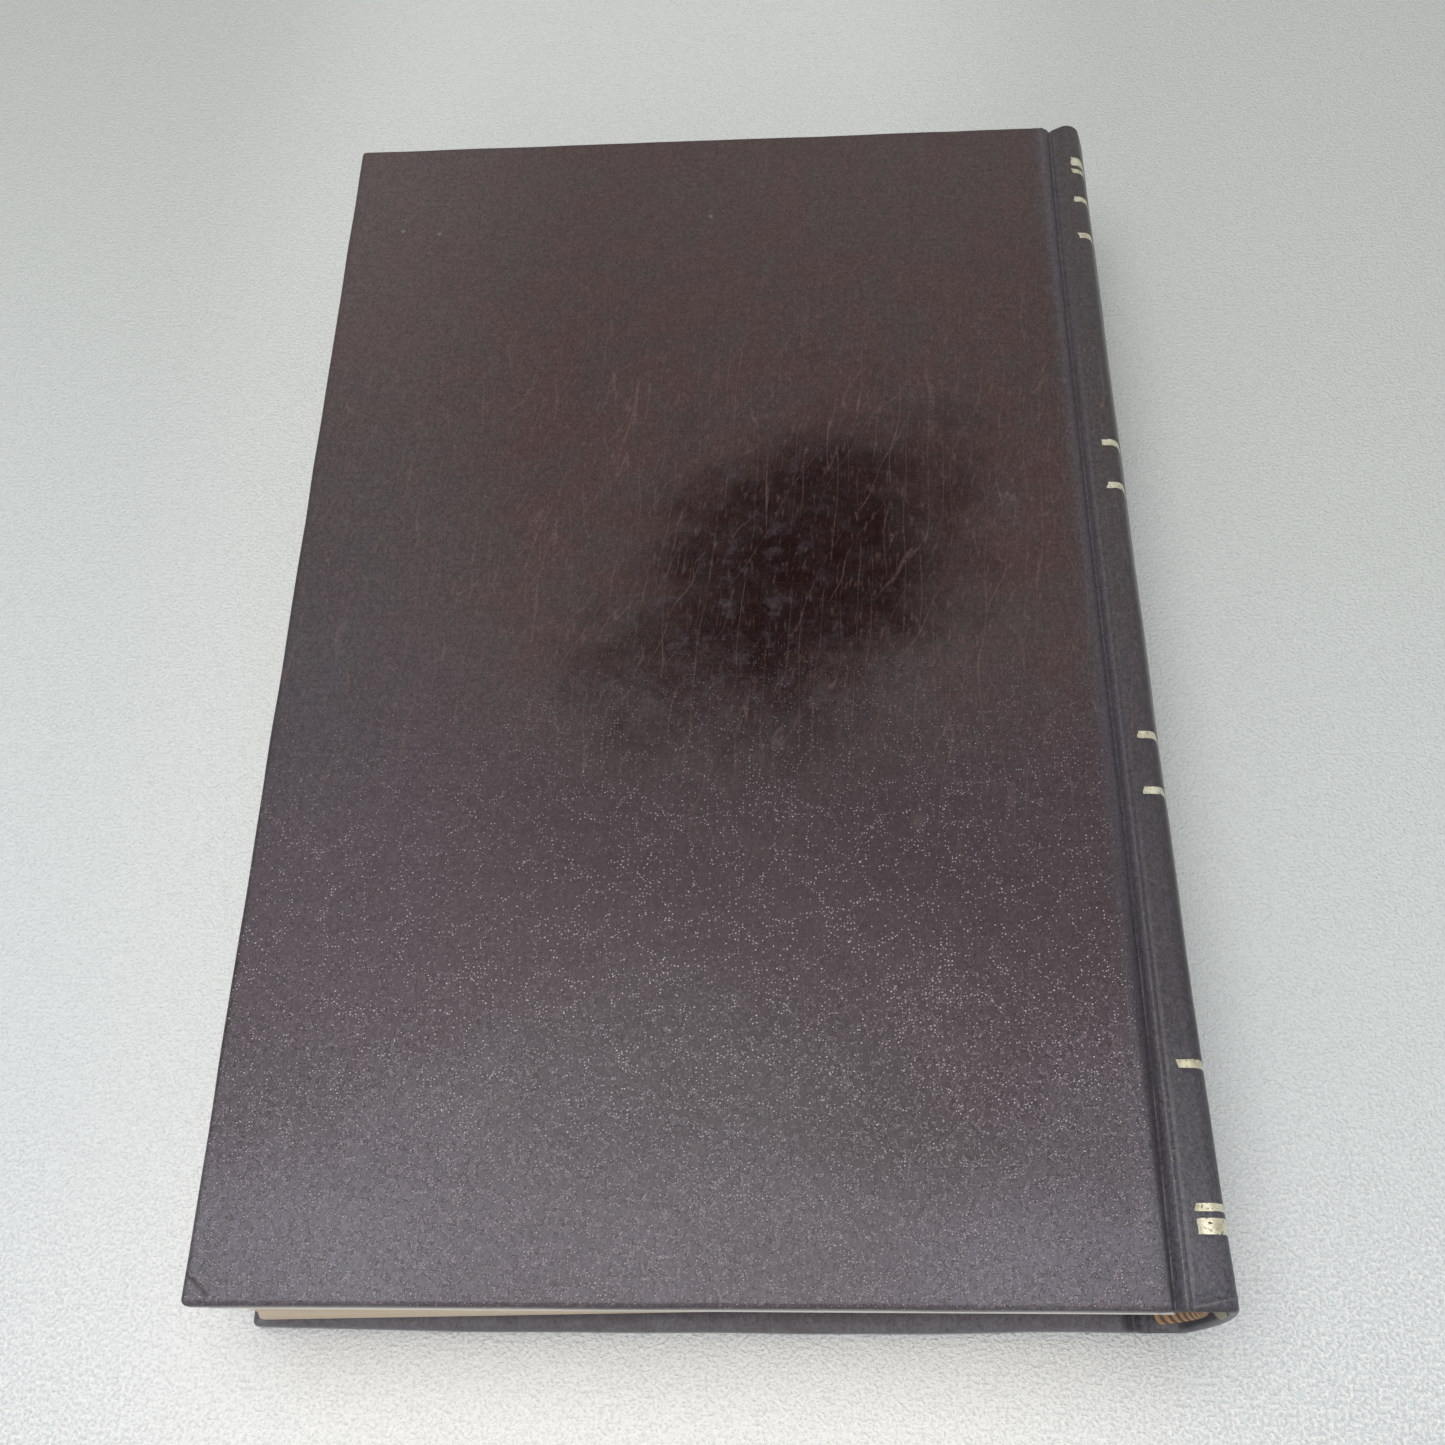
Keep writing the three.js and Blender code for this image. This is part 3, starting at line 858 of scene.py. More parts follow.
def relief(u, y, seed):
    """Height over the outline: groove, crease, ridge, stamped channels and slow waves."""
    share = share_of_height(y)
    at_head = share ** 6
    at_tail = (1 - share) ** 8
    edge = JOINT + 0.7 + 0.9 * at_tail + 0.9 * at_head
    groove = JOINT + 3.0 - 0.7 * at_tail + 0.9 * at_head
    ridge = groove + 1.15 + 0.55 * at_tail + 2.2 * at_head
    dip = smooth((u - edge) / (groove - edge)) * (1 - smooth((u - groove) / (ridge - groove)))
    height = -(GROOVE_DEPTH + 0.25 * at_tail) * dip
    height = height - CREASE_DEPTH * (1 - 0.6 * at_tail) * hump(u, groove, CREASE_WIDTH)
    height = height + (0.06 + 0.22 * at_head) * hump(u, ridge, 0.6 + at_head)
    height = height - 0.16 * (1 - at_head) * hump(u, ridge + 0.75, 0.3)
    for start, end in GILT_LINES:
        inside = smooth((y - start + 0.25) / 0.2) * (1 - smooth((y - end - 0.05) / 0.2))
        height = height - STAMP_DEPTH * inside * smooth((u - GILT_START - at_head) / 0.3)
    from_edge = y - SHEET_EDGE_SLOPE * u - SHEET_EDGE
    on_shoulder = smooth((u - JOINT - 4.6) / 1.2) * (1 - smooth((u - JOINT - 11.5) / 2))
    height = height + on_shoulder * (0.2 * hump(from_edge, 0, 0.35) - 0.22 * hump(from_edge, 1.0, 0.6))
    height = height + LONG_ROLL * waves(u, y, 34.0, seed) + SHORT_ROLL * waves(u, y, 9.0, seed + 1)
    return height if seed == UPPER else np.minimum(height, 0)


print(f"relief in the groove at mid height: {relief(JOINT + 3.0, 0.0, UPPER):.2f} mm")

# %% [markdown]
# ## Turned-in edges
#
# Leatherette is folded over the boards' edges and glued down inside. Seen from the end, the
# fold is a quarter circle, a wall, another quarter circle and a flap. The same profile serves
# the covers, where it wraps a board, and the grooves, where it is thin.

# %% The profile of a fold
LEATHER = 0.45
FOLD_RADIUS = 0.85
TURN_IN = 8.0
ARC_STEPS = 6
FLAP_STEPS = 5


def fold_profile(depth):
    """Rows of (reach past the edge, depth below the surface) over a fold of this depth.

    The reach is 0 on the wall and below 0 inside the edge. Two quarter circles join the wall
    to the surface and to the flap.
    """
    depth = np.atleast_1d(np.asarray(depth, float))
    radius = np.minimum(FOLD_RADIUS, depth / 2)
    angle = np.linspace(0, np.pi / 2, ARC_STEPS)[:, None]
    run = np.linspace(0, 1, FLAP_STEPS)[1:, None]
    reach = [radius * (np.sin(angle) - 1), radius * (np.cos(angle) - 1), -radius - run * (TURN_IN - radius)]
    level = [radius * (1 - np.cos(angle)), depth - radius * (1 - np.sin(angle)), depth + 0 * run]
    return np.vstack(reach), np.vstack(level)


print("fold:", len(fold_profile(COVER)[0]), "rows")

# %% [markdown]
# ## The covers
#
# A cover's leatherette is a flat grid, and a border that carries the fold's profile round
# three edges and fans out round the board's corners. Inside, the flaps meet at a mitre, which
# is what the nearest point of a shrinking rectangle gives. The side at the groove stays open.

# %% The leatherette of a cover
BOARD_CORNER = 1.05
COVER_CELL = 1.5
COVER_COLUMNS = round((JOINT - FORE) / COVER_CELL)
COVER_ROWS = round(HEIGHT / COVER_CELL)
FAN = 5
EDGE_WAVER = 0.09
EDGE_DRAW = 0.06
TAIL_REACH = 0.6


def cover_border(xs, ys):
    """The border's path round three sides, and its outward direction, at each column."""
    turn = np.linspace(0, np.pi / 2, FAN)[1:-1]
    path_x = np.concatenate([xs[::-1], np.full(len(ys) + 2 * len(turn), xs[0]), xs])
    path_y = np.concatenate([np.full(len(xs) + len(turn), ys[0]), ys, np.full(len(turn) + len(xs), ys[-1])])
    flat, wall = np.zeros(len(xs)), np.zeros(len(ys))
    out_x = np.concatenate([flat, -np.sin(turn), wall - 1, -np.cos(turn), flat])
    out_y = np.concatenate([flat - 1, -np.cos(turn), wall, np.sin(turn), flat + 1])
    return path_x, path_y, out_x, out_y


def cover_leather(seed):
    """The upper cover's sheet: a grid over the flat, and folds carried round three sides."""
    near, far = TAIL + BOARD_CORNER, HEAD - BOARD_CORNER
    xs = np.linspace(FORE + BOARD_CORNER, JOINT, COVER_COLUMNS)
    ys = np.linspace(near, far, COVER_ROWS)
    path_x, path_y, out_x, out_y = cover_border(xs, ys)
    reach, depth = fold_profile(COVER)
    away = BOARD_CORNER + np.vstack([[[-BOARD_CORNER]], reach])
    inset, beyond = np.maximum(-away, 0), np.maximum(away, 0)
    uneven = EDGE_WAVER * waves(path_x, path_y, 26.0, seed + 2) * beyond / BOARD_CORNER
    beyond = beyond + uneven - EDGE_DRAW * beyond / BOARD_CORNER
    edge_x = np.maximum(path_x, xs[0] + inset) + out_x * beyond
    edge_y = np.clip(path_y, near + inset, far - inset) + out_y * beyond
    edge = surface(edge_x, edge_y, TOP - np.vstack([[[0.0]], depth]))
    points, faces, _ = weld(*together(surface(xs, ys[:, None], TOP), edge))
    lift = relief(points[:, 0], points[:, 1], seed)
    points[:, 2] += lift * smooth((points[:, 2] - TOP + COVER / 2) / (COVER / 2))
    return thicken(points, faces, LEATHER)


def reaching(points, faces):
    """Draws the tail edge outwards, most a quarter of the way along, and not at the groove."""
    along = (points[:, 0] - FORE) / (JOINT - FORE)
    bow = (0.3 + 0.7 * smooth(along / 0.25)) * smooth((1 - along) / 0.3)
    points[:, 1] -= TAIL_REACH * bow * smooth((TAIL + 12 - points[:, 1]) / 12)
    return points, faces


upper_cover = cover_leather(UPPER)
lower_cover = reaching(*turned_over(*cover_leather(LOWER)))
make_piece("upper_cover_leather", upper_cover, LEATHERETTE, "top_cover", "top_leather")
make_piece("lower_cover_leather", lower_cover, LEATHERETTE, "bottom_cover", "bottom_leather")

# %% [markdown]
# ## Grooves, corners and spine
#
# The same sheet runs on over the groove and round the spine to the other cover. Here it is
# parted along lines that stay flat, and the parts over a hinge name no body: the groove beside
# the upper cover, and the two corners of the spine. Each part is one grid, with the fold's
# profile at the tail and the head. The fold is as deep as the cover at first, pinches to two
# layers in the groove, and widens again over the card in the spine.

# %% A strip of the case
ROW_STEP = 1.3
STRIP_MARGIN = 1.2
THIN_FOLD = 1.1
SPINE_FOLD = 1.6


def strip_rows():
    """Heights of the rows: even ones, with more at the tail and at each gilt line's edges."""
    even = np.arange(TAIL + STRIP_MARGIN, HEAD - STRIP_MARGIN + ROW_STEP / 2, ROW_STEP)
    even[-1] = HEAD - STRIP_MARGIN
    steps = [[start - 0.25, start - 0.05, end + 0.05, end + 0.25] for start, end in GILT_LINES]
    slant = np.arange(TAIL + STRIP_MARGIN, TAIL + 5, 0.3)
    edges = np.concatenate([np.array(steps).reshape(-1), slant])
    apart = np.abs(even[:, None] - edges).min(axis=1) > 0.15
    return np.sort(np.concatenate([even[apart], edges]))


def folded_rows(fold):
    """Y and depth of all rows: the fold at the tail, the way along the book, and the head's."""
    reach, level = fold_profile(fold)
    rows = strip_rows()[:, None] + 0 * fold
    y = np.vstack([TAIL - reach[::-1], rows, HEAD + reach])
    return y, np.vstack([level[::-1], 0 * rows, level])


def fold_depth(u):
    """The depth of the end fold: a cover's at the board, thin in the groove, and a card's."""
    pinch = smooth((u - JOINT) / 2.4)
    card = smooth((u - JOINT - 6) / 4)
    return COVER + (THIN_FOLD - COVER) * pinch + (SPINE_FOLD - THIN_FOLD) * card


def strip(along, seed):
    """A part of the case. along(y) gives the distance along the outline for each column."""
    y, depth = folded_rows(fold_depth(along(np.array([[0.0]]))[0]))
    u = along(y)
    x, z = outline(u, y, depth - relief(u, y, seed))
    return sheet(x, y, z, LEATHER)


# %% [markdown]
# A piece over a hinge names no body: it is made where it lies, and its place is baked into its mesh.

# %% Groove and corner strips
GROOVE_END = JOINT + 7.0
GROOVE_COLUMNS = 48
CORNER_COLUMNS = 30


def groove_run(y):
    """From the board's edge to the shoulder of the spine."""
    return JOINT + (GROOVE_END - JOINT) * np.linspace(0, 1, GROOVE_COLUMNS) + 0 * y


def corner_run(y):
    """From the shoulder, round the corner, to the seam on the back."""
    return GROOVE_END + (seam_on_back(y) - GROOVE_END) * np.linspace(0, 1, CORNER_COLUMNS)


groove = make_piece("upper_groove_leather", strip(groove_run, UPPER), LEATHERETTE)
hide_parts("top_joint_leather")
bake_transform(groove)
groove = turned_over(*strip(groove_run, LOWER))
make_piece("lower_groove_leather", groove, LEATHERETTE, "bottom_cover", "bottom_joint_leather")
corner = make_piece("upper_corner_leather", strip(corner_run, UPPER), LEATHERETTE)
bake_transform(corner)
corner = turned_over(*strip(corner_run, LOWER))
corner = make_piece("lower_corner_leather", corner, LEATHERETTE)
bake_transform(corner)

# %% [markdown]
# The back of the spine lies between the two seams. Its outline is mirrored below the middle,
# so one share from 1 to -1 runs over it, and the relief of one side fades into the other's.

# %% The back of the spine
BACK_COLUMNS = 34


def back_grid(columns, y, depth, reach=1.0):
    """X and Z over the back, from the upper seam to the lower, at a depth below its relief."""
    share = np.linspace(reach, -reach, columns)
    u = middle_of_back(y) - np.abs(share) * (middle_of_back(y) - seam_on_back(y))
    blend = smooth((share + 1) / 2)
    height = blend * relief(u, y, UPPER) + (1 - blend) * relief(u, y, LOWER)
    x, z = outline(u, y, depth - height)
    return x, np.where(share < 0, TOP - z, z)


def back_leather():
    """The sheet over the back, with a fold at the tail and the head."""
    y, depth = folded_rows(np.full(BACK_COLUMNS, SPINE_FOLD))
    x, z = back_grid(BACK_COLUMNS, y, depth)
    return sheet(x, y, z, LEATHER)


make_piece("spine_back_leather", back_leather(), LEATHERETTE, "spine", "spine_leather")

# %% [markdown]
# ## Gilt lines
#
# Each line is a thin ribbon of foil in its stamped channel, from the shoulder beside the
# ridge over the back to the other shoulder. Its ends are a little ragged. The parts over a
# corner name no body, like the leatherette there; those of all the lines make one piece for
# each corner.

# %% Ribbons of foil
FOIL_RAISE = 0.045
FOIL = 0.07
FOIL_ROWS = 6


def ribbon_rows(start, end, columns, seed):
    """Heights over the width of a ribbon, with edges that waver by a few hundredths."""
    share = np.linspace(0, 1, FOIL_ROWS)[:, None]
    run = np.linspace(0, 12, columns)
    first = start + 0.04 * waves(run, 0.0, 2.5, seed)
    last = end + 0.04 * waves(run, 5.0, 2.5, seed)
    return first + (last - first) * share


def corner_ribbon(start, end, seed, relief_seed):
    """The part of a line from its ragged end on the shoulder to the seam on the back."""
    y = ribbon_rows(start, end, CORNER_COLUMNS, seed)
    first = GILT_START + share_of_height(start) ** 6 + 0.22 * waves(y[:, :1], 0.0, 1.8, seed + 1)
    u = first + (seam_on_back(y) - first) * np.linspace(0, 1, CORNER_COLUMNS)
    x, z = outline(u, y, -FOIL_RAISE - relief(u, y, relief_seed))
    return sheet(x, y, z, FOIL)


def corner_ribbons(seed, relief_seed):
    """The corner parts of all the lines."""
    lines = enumerate(GILT_LINES)
    return together(*[corner_ribbon(*line, seed + index, relief_seed) for index, line in lines])


for number, (start, end) in enumerate(GILT_LINES, start=1):
    y = ribbon_rows(start, end, BACK_COLUMNS, 40 + number)
    x, z = back_grid(BACK_COLUMNS, y, -FOIL_RAISE)
    band = sheet(x, y, z, FOIL)
    make_piece(f"gilt_band_{number:02d}", band, GILT, "spine", f"gilt_line_{number:02d}")
ribbons = make_piece("upper_gilt_ends", corner_ribbons(60, UPPER), GILT)
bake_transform(ribbons)
ribbons = make_piece("lower_gilt_ends", turned_over(*corner_ribbons(80, LOWER)), GILT)
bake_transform(ribbons)

# %% [markdown]
# ## Sections of pages
#
# A section is a few sheets nested in each other and folded once, within the box of its packed
# solid. The old block has rounded a little more than the solids: its folds lie on a shallow
# arc. Each sheet is a U: a lower leaf, a half circle at the fold, and an upper leaf.
#
# Single leaves are what makes a block of pages look like paper, so they are real here, and
# each ends a few hundredths of a millimetre from its neighbour. The fore-edge has sunk
# towards the tail, and its upper part has moved in a little.

# %% Nested sheets
SHEETS = 9
LEAF_GAP = 0.2
LEAF_STEPS = 9
FOLD_STEPS = 8
PAGE_ROWS = 15
UNEVEN_CUT = 0.09
SAG = 3.5
FORE_REACH, FORE_LEAN = 0.4, 2.6
ROUNDING = 5.0
section_boxes = [node_box(f"section_{number:02d}") for number in range(1, 13)]
BLOCK_LOW, BLOCK_HIGH = section_boxes[0][0][2], section_boxes[-1][1][2]
BLOCK_BACK = max(high[0] for _, high in section_boxes)
PAGE_WIDTH = BLOCK_BACK - section_boxes[0][0][0]
PAGE_TAIL = section_boxes[0][0][1] + SAG
PAGE_HEAD = section_boxes[0][1][1]


def fold_line(z):
    """How far out the folds lie at a height: an arc, nearly a parabola, over the block."""
    middle, half = (BLOCK_LOW + BLOCK_HIGH) / 2, (BLOCK_HIGH - BLOCK_LOW) / 2
    return BLOCK_BACK - ROUNDING * ((z - middle) / half) ** 2


def sagged(x, y):
    """Heights dropped towards the tail in step with the way from the spine."""
    return y + SAG / PAGE_WIDTH * (x - BLOCK_BACK)


def folded_sheet(low, high, index, seed):
    """One sheet of a section: a U round the section's fold, nested inside the outer ones."""
    draw = np.random.default_rng(seed)
    outer_radius = (high[2] - low[2]) / 2
    pitch = (high[2] - low[2]) / (2 * SHEETS)
    radius = outer_radius - (index + 0.5) * pitch
    middle = (low[2] + high[2]) / 2
    fold_x = min(fold_line(low[2]), fold_line(high[2]), high[0]) - outer_radius
    lean = smooth((middle - BLOCK_LOW) / (0.6 * (BLOCK_HIGH - BLOCK_LOW)))
    fore = low[0] - FORE_REACH + FORE_LEAN * lean + draw.uniform(0.02, 0.14)
    turn = np.linspace(-np.pi / 2, np.pi / 2, FOLD_STEPS)[1:-1]
    leaf_x = fore + (fold_x - fore) * np.linspace(0, 1, LEAF_STEPS)
    level = np.full(LEAF_STEPS, radius)
    x = np.concatenate([leaf_x, fold_x + radius * np.cos(turn), leaf_x[::-1]])
    z = middle + np.concatenate([-level, radius * np.sin(turn), level])
    tail = PAGE_TAIL + draw.uniform(0.0, UNEVEN_CUT)
    head = PAGE_HEAD - draw.uniform(0.0, UNEVEN_CUT)
    y = np.linspace(tail, head, PAGE_ROWS)[:, None] + 0 * x
    roll = 0.05 * waves(x, y, 70.0, int(low[2])) + 0.018 * waves(x, y, 24.0, seed)
    return sheet(x, sagged(x, y), z + roll * smooth((BLOCK_BACK - x) / 60), pitch * (1 - LEAF_GAP))


SECTION_BODIES = ["bottom_cover", *[f"section_{number:02d}" for number in range(2, 12)], "upper_block"]
for number, body in enumerate(SECTION_BODIES, start=1):
    low, high = section_boxes[number - 1]
    leaves = together(*[folded_sheet(low, high, index, 100 * number + index) for index in range(SHEETS)])
    make_piece(f"leaves_{number:02d}", leaves, PAGES, body, f"section_{number:02d}")

# %% [markdown]
# ## Endpapers
#
# A folded sheet joins the pages to each cover. One half, the pastedown, is glued over the
# board and the flaps, whose step shows through it. The other half is the free flyleaf, and
# between them the paper crosses the hinge. The upper pastedown was pasted too low: it ends
# flush with the cover's tail edge and shows there as a thin white line.

# %% Pastedowns, hinges and flyleaves
PAPER = 0.1
OVER_BOARD = 3.13
OVER_FLAP = 3.5
FLYLEAF_DEPTH = 3.6
PASTE_INSET = 3.6
FLUSH = -0.08
HINGE_REACH = JOINT + 5.6
STEP_ZONE = TURN_IN + 4.0
LOWER_CUT = 0.4


def flap_rows(tail_inset):
    """Heights from head to tail, close together where the paper steps off the flaps."""
    at_head = np.linspace(HEAD - PASTE_INSET, HEAD - STEP_ZONE, 28, endpoint=False)
    between = np.linspace(HEAD - STEP_ZONE, TAIL + STEP_ZONE, 80, endpoint=False)
    at_tail = np.linspace(TAIL + STEP_ZONE, TAIL + tail_inset, 32)
    return np.concatenate([at_head, between, at_tail])


def paste_depth(from_edge):
    """Less over the board than over the flap, with a short slope past the flap's end."""
    return OVER_FLAP + (OVER_BOARD - OVER_FLAP) * smooth((from_edge - TURN_IN - 0.1) / 1.6)


def pastedown(seed, tail_inset):
    """A sheet on the inside of the upper cover, lower where it lies over the flaps."""
    at_fore = np.linspace(FORE + PASTE_INSET, FORE + STEP_ZONE, 24, endpoint=False)
    x = np.concatenate([at_fore, np.linspace(FORE + STEP_ZONE, JOINT - 0.1, 70)])
    y = flap_rows(tail_inset)[:, None]
    depth = paste_depth(np.minimum(x - FORE, HEAD - np.abs(y)))
    return sheet(x, y, TOP - depth - 0.012 * waves(x, y, 12.0, seed), PAPER)


def paper_hinge(seed, tail_inset):
    """The stretch of paper from the pastedown over the hinge to the flyleaf."""
    x = np.linspace(JOINT - 0.1, HINGE_REACH, 26)
    rows = flap_rows(tail_inset)
    share = (rows - rows[-1]) / (rows[0] - rows[-1])
    tail = TAIL + tail_inset + (PASTE_INSET - tail_inset) * smooth((x - JOINT - 2.4) / 2.4)
    y = tail + (HEAD - PASTE_INSET - tail) * share[:, None]
    way = smooth((x - JOINT) / (HINGE_REACH - JOINT))
    board_side = paste_depth(HEAD - np.abs(y))
    depth = board_side + (FLYLEAF_DEPTH - 0.02 - board_side) * way + 0.01 * waves(x, y, 9.0, seed)
    return sheet(x, y, TOP - depth, PAPER)


def flyleaf(seed, cut):
    """The free leaf that lies on the pages, as large as they are but for a cut at the tail."""
    x = np.linspace(node_box("top_flyleaf")[0][0], HINGE_REACH, 60)
    y = np.linspace(PAGE_HEAD, PAGE_TAIL + cut, 60)[:, None]
    depth = FLYLEAF_DEPTH + 0.1 + 0.02 * waves(x, y, 60.0, seed)
    return sheet(x, sagged(x, y), TOP - depth, PAPER)


make_piece("upper_pastedown_paper", pastedown(31, FLUSH), ENDPAPER, "top_cover", "top_pastedown")
hinge = make_piece("upper_hinge_paper", paper_hinge(32, FLUSH), ENDPAPER)
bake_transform(hinge)
make_piece("upper_flyleaf_paper", flyleaf(33, 0.0), ENDPAPER, "upper_block", "top_flyleaf")
for name, shape, node in (("pastedown", pastedown(34, PASTE_INSET), "bottom_pastedown"),
                          ("hinge", paper_hinge(35, PASTE_INSET), None),
                          ("flyleaf", flyleaf(36, LOWER_CUT), "bottom_flyleaf")):
    make_piece(f"lower_{name}_paper", turned_over(*shape), ENDPAPER, "bottom_cover", node)

# %% [markdown]
# ## Behind the pages
#
# The folds are sewn round four tapes, with mull and a paper lining glued over them. Tapes and
# mull are cloth. The card lies against the leatherette instead, under a grey-green paper, so the
# spine is hollow.

# %% Tapes, mull, lining and card
ARC_INSET = 0.4


def behind_pages(away, thickness, tail, head, rows):
    """A layer on the folds: its outer face lies this far beyond their line."""
    z = np.linspace(BLOCK_HIGH - ARC_INSET, BLOCK_LOW + ARC_INSET, 40)
    y = np.linspace(tail, head, rows)[:, None]
    x = fold_line(z) + away + 0.015 * waves(z, y, 7.0, int(away * 100))
    return sheet(x, y, z, thickness)


def inside_back(margin, depth, thickness, cut_back=0.0):
    """A sheet under the back: its distance from tail and head, depth and thickness.

    It can be cut back by some length at the tail of its lower half.
    """
    tail = TAIL + margin + cut_back * smooth(np.linspace(-0.6, 1.6, 20))
    y = tail + (HEAD - margin - tail) * np.linspace(0, 1, 120)[:, None]
    x, z = back_grid(20, y, depth, reach=0.97)
    return sheet(x, y, z, thickness)


heights = np.linspace(BLOCK_LOW + ARC_INSET, BLOCK_HIGH - ARC_INSET, 200)
arc = np.hypot(np.diff(fold_line(heights)), np.diff(heights)).sum()
cloths = [(f"woven_tape_{number}", TAPE, f"sewing_tape_{number}", 0.3, 0.22, 12) for number in range(1, 5)]
for name, finish, node, away, thickness, rows in [*cloths, ("mull_cloth", MULL, "mull", 0.44, 0.1, 90)]:
    low, high = node_box(node)
    layer = behind_pages(away, thickness, low[1], high[1], rows)
    cloth = make_piece(name, layer, finish, "spine", node)
    (high[1] - low[1]) / MM
lining = behind_pages(0.58, 0.1, low[1], high[1], 90)
make_piece("back_lining", lining, LINING, "spine", "spine_lining")
card = inside_back(1.1, LEATHER + 0.1, 0.55)
make_piece("spine_card", card, MILLBOARD, "spine", "spine_strip")
make_piece("hollow_paper", inside_back(0.2, SPINE_FOLD + 0.06, 0.12, 2.6), HOLLOW, "spine")

# %% [markdown]
# ## End bands
#
# An end band is a cord wound with silk. It is a tube whose radius rises and falls with each
# turn of the thread. The count of turns shifts with the angle round it, which slants the ribs.

# %% Wound end bands
BAND_RADIUS = 0.84
BAND_TALL = 1.8
BAND_OUT = 0.55
THREAD = 0.5
SLANT = 1.1
BAND_STEPS = 420
BAND_SIDES = 14


def wound_band(place):
    """A tube along the folds, closed at both ends, with the UV map counting its turns."""
    z_line = np.linspace(BLOCK_LOW + 1.0, BLOCK_HIGH - 1.0, BAND_STEPS)
    x_line = fold_line(z_line) - BAND_RADIUS + 0.25
    angle = np.linspace(0, 2 * np.pi, BAND_SIDES + 1)
    count = ((z_line - z_line[0]) / THREAD)[:, None] + SLANT * np.sin(angle)
    radius = BAND_RADIUS * (0.88 + 0.14 * np.abs(np.sin(np.pi * count)))
    from_end = np.minimum(z_line - z_line[0], z_line[-1] - z_line)[:, None]
    radius = radius * np.sqrt(np.clip(1 - (1 - np.minimum(from_end / 0.5, 1)) ** 2, 0, 1))
    x = x_line[:, None] + radius * np.cos(angle)
    y = place + BAND_TALL * radius * np.sin(angle)
    uv = np.stack([count, angle / (2 * np.pi) + 0 * count], axis=-1).reshape(-1, 2)
    return *surface(x, y, z_line[:, None]), uv


for name, outward in (("head_band", BAND_OUT), ("tail_band", -BAND_OUT)):
    low, high = node_box(name)
    points, faces, uv = wound_band((low[1] + high[1]) / 2 + outward)
    points, faces, kept = weld(points, faces)
    make_piece(f"{name}_silk", (points, faces), SILK, "spine", name, uv[kept])

# %% [markdown]
# ## Nodes that stay
#
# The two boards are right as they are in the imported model, and only need their finish.

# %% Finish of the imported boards
for name in ("top_board", "bottom_board"):
    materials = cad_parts[name].data.materials
    materials.clear()
    materials.append(MILLBOARD[0])
print("boards in", MILLBOARD[0].name)

# %% [markdown]
# ## The surface it lies on
#
# A plain table with a very fine pebble. Painted light makes it palest beyond the tail, nearly
# white, with a brighter band down its middle and painted glints on the pebble there.

# %% Floor
WHITE, PEBBLE_GREY = (1.0, 1.0, 1.0, 1), (0.4, 0.4, 0.4, 1)
FAR_GREY, NEAR_GREY = (0.65, 0.67, 0.65, 1), (0.80, 0.835, 0.855, 1)
TABLE_REACH = 2500.0
TABLE_ROWS = 21


def table_finish():
    """Pale grey with painted light: paler towards the tail and along its middle, with painted glints on a
    fine pebble.
    """
    material, inputs, place = new_material("table")
    x, y, _ = parts(place)
    # Painted light: a gradient paler towards the tail, a brighter band down the middle, and glints on the
    # pebble near the tail.
    central_glow = fade(abs(x + 20.0), 50.0, 125.0, 0.85, 0.0) * fade(y, -60.0, -150.0, 0.5, 1.0)
    pebble = noise(place, 1.5, 2.0, 0.6)
    at_tail = fade(y, -60.0, -150.0, 0.12, 1.0)
    colour = layered(FAR_GREY, (fade(x * 0.3 + y, 190.0, -170.0), NEAR_GREY), (central_glow, WHITE),
                     (fade(pebble, 0.48, 0.62) * at_tail, WHITE),
                     (fade(pebble, 0.5, 0.36) * at_tail * 0.2, PEBBLE_GREY))
    feed(inputs, {"Base Color": colour, "Roughness": 0.5, "Normal": bump(pebble, 0.0007)})
    return material, None


side = np.linspace(-TABLE_REACH, TABLE_REACH, TABLE_ROWS)
floor = make_piece("table", surface(side, side[:, None], 0.0), table_finish())
floor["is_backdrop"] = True

# %% [markdown]
# ## Camera
#
# The picture was taken from above the tail. The camera's place was worked out from the corners
# of the upper cover. Its direction is a pitch away from straight down, a yaw about the
# vertical and a roll in the frame.

# %% Camera
CAMERA_PLACE = (16.6, -145.8, 246.6 + TOP)
CAMERA_PITCH, CAMERA_YAW, CAMERA_ROLL = 0.46466, -0.12478, 0.12691
CAMERA_LENS = 38.04
SENSOR_WIDTH = 36.0


def turned_by(angle):
    """The rows of a turn about Z."""
    cos, sin = math.cos(angle), math.sin(angle)
    return np.array([[cos, -sin, 0], [sin, cos, 0], [0, 0, 1]])


lean = np.array([[1, 0, 0], [0, math.cos(CAMERA_PITCH), math.sin(CAMERA_PITCH)],
                 [0, math.sin(CAMERA_PITCH), -math.cos(CAMERA_PITCH)]])
right, up, forward = turned_by(CAMERA_ROLL) @ lean @ turned_by(CAMERA_YAW)
camera = bpy.data.objects.new("camera", bpy.data.cameras.new("camera"))
camera.data.lens = CAMERA_LENS
camera.data.sensor_width = SENSOR_WIDTH
camera.data.clip_start, camera.data.clip_end = 0.01, 20.0
turned = Matrix(np.column_stack([right, up, -forward]).tolist()).to_4x4()
camera.matrix_world = Matrix.Translation([value / MM for value in CAMERA_PLACE]) @ turned
bpy.context.scene.collection.objects.link(camera)
bpy.context.scene.camera = camera
print("camera at", [round(value) for value in CAMERA_PLACE], "mm")

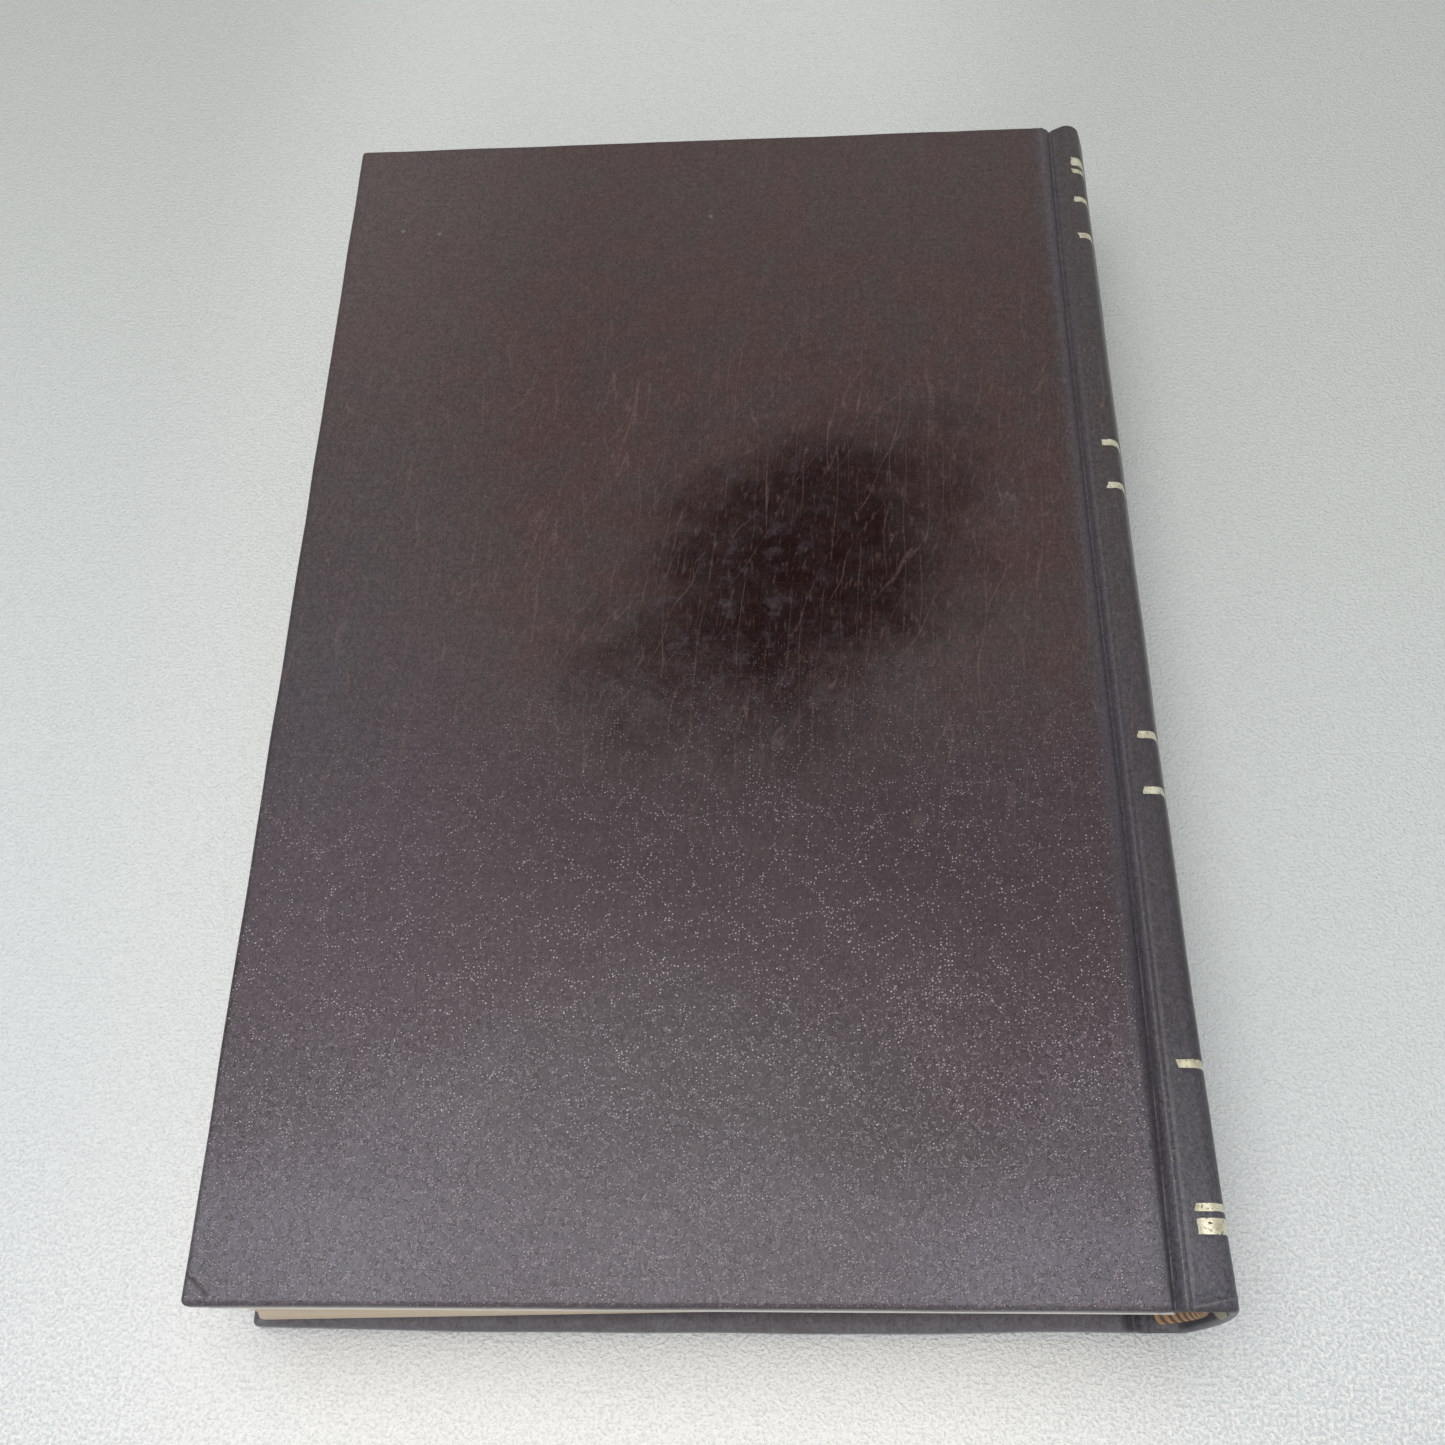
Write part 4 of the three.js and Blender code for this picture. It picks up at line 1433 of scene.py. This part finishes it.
# %% [markdown]
# ## Light
#
# One large soft lamp hangs over the tail half of the book, and its reflection greys the film
# there. A weaker one, like a window beyond the tail, lights the pages' edges. A pale world
# fills the rest. What the camera and mirrors see of that world is a plain grey backdrop.

# %% Light and world
LAMP_PLACE, LAMP_POWER = (-80.0, -70.0, 700.0), 2.85
WINDOW_PLACE, WINDOW_POWER = (-60.0, -700.0, 400.0), 1.1
LAMP_SIZE = 520.0
LAMP_AIM = Vector([0.0, -80.0, 10.0])
WORLD_LEVEL = 0.44


def soft_lamp(name, place, power):
    """A round lamp at a place, facing the foot of the book."""
    lamp = bpy.data.objects.new(name, bpy.data.lights.new(name, "AREA"))
    lamp.data.shape = "DISK"
    lamp.data.size = LAMP_SIZE / MM
    lamp.data.energy = power
    lamp.data.color = (1.0, 0.99, 0.97)
    lamp.location = [value / MM for value in place]
    lamp.rotation_euler = (LAMP_AIM - Vector(place)).to_track_quat("-Z", "Y").to_euler()
    bpy.context.scene.collection.objects.link(lamp)


soft_lamp("soft_lamp", LAMP_PLACE, LAMP_POWER)
soft_lamp("window", WINDOW_PLACE, WINDOW_POWER)

world = bpy.data.worlds.new("studio")
world.use_nodes = True
bpy.context.scene.world = world
world.node_tree.nodes.clear()
TREES.append(world.node_tree)
fill = add("Background", {"Color": (0.93, 0.96, 0.95, 1), "Strength": WORLD_LEVEL})
backdrop = add("Background", {"Color": (0.46, 0.47, 0.46, 1), "Strength": 1.0})
rays = add("LightPath", {})
seen = most(most(rays["Is Camera Ray"], rays["Is Glossy Ray"]), rays["Is Transmission Ray"])
add("OutputWorld", {0: add("MixShader", {0: seen, 1: fill[0], 2: backdrop[0]})[0]})
bpy.context.scene.view_settings.view_transform = "Standard"
print("lamps at", LAMP_PLACE, WINDOW_PLACE, "mm")

# %% [markdown]
# ## Sizes
#
# The dressed book's box and the imported one's are both printed. The dressed book has
# to stay within the imported one's box.

# %% Keep both boxes and finish
made_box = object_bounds()
for name, box in (("packed", cad_box), ("dressed", made_box)):
    print(name, [round(value * MM, 1) for corner in box for value in corner])
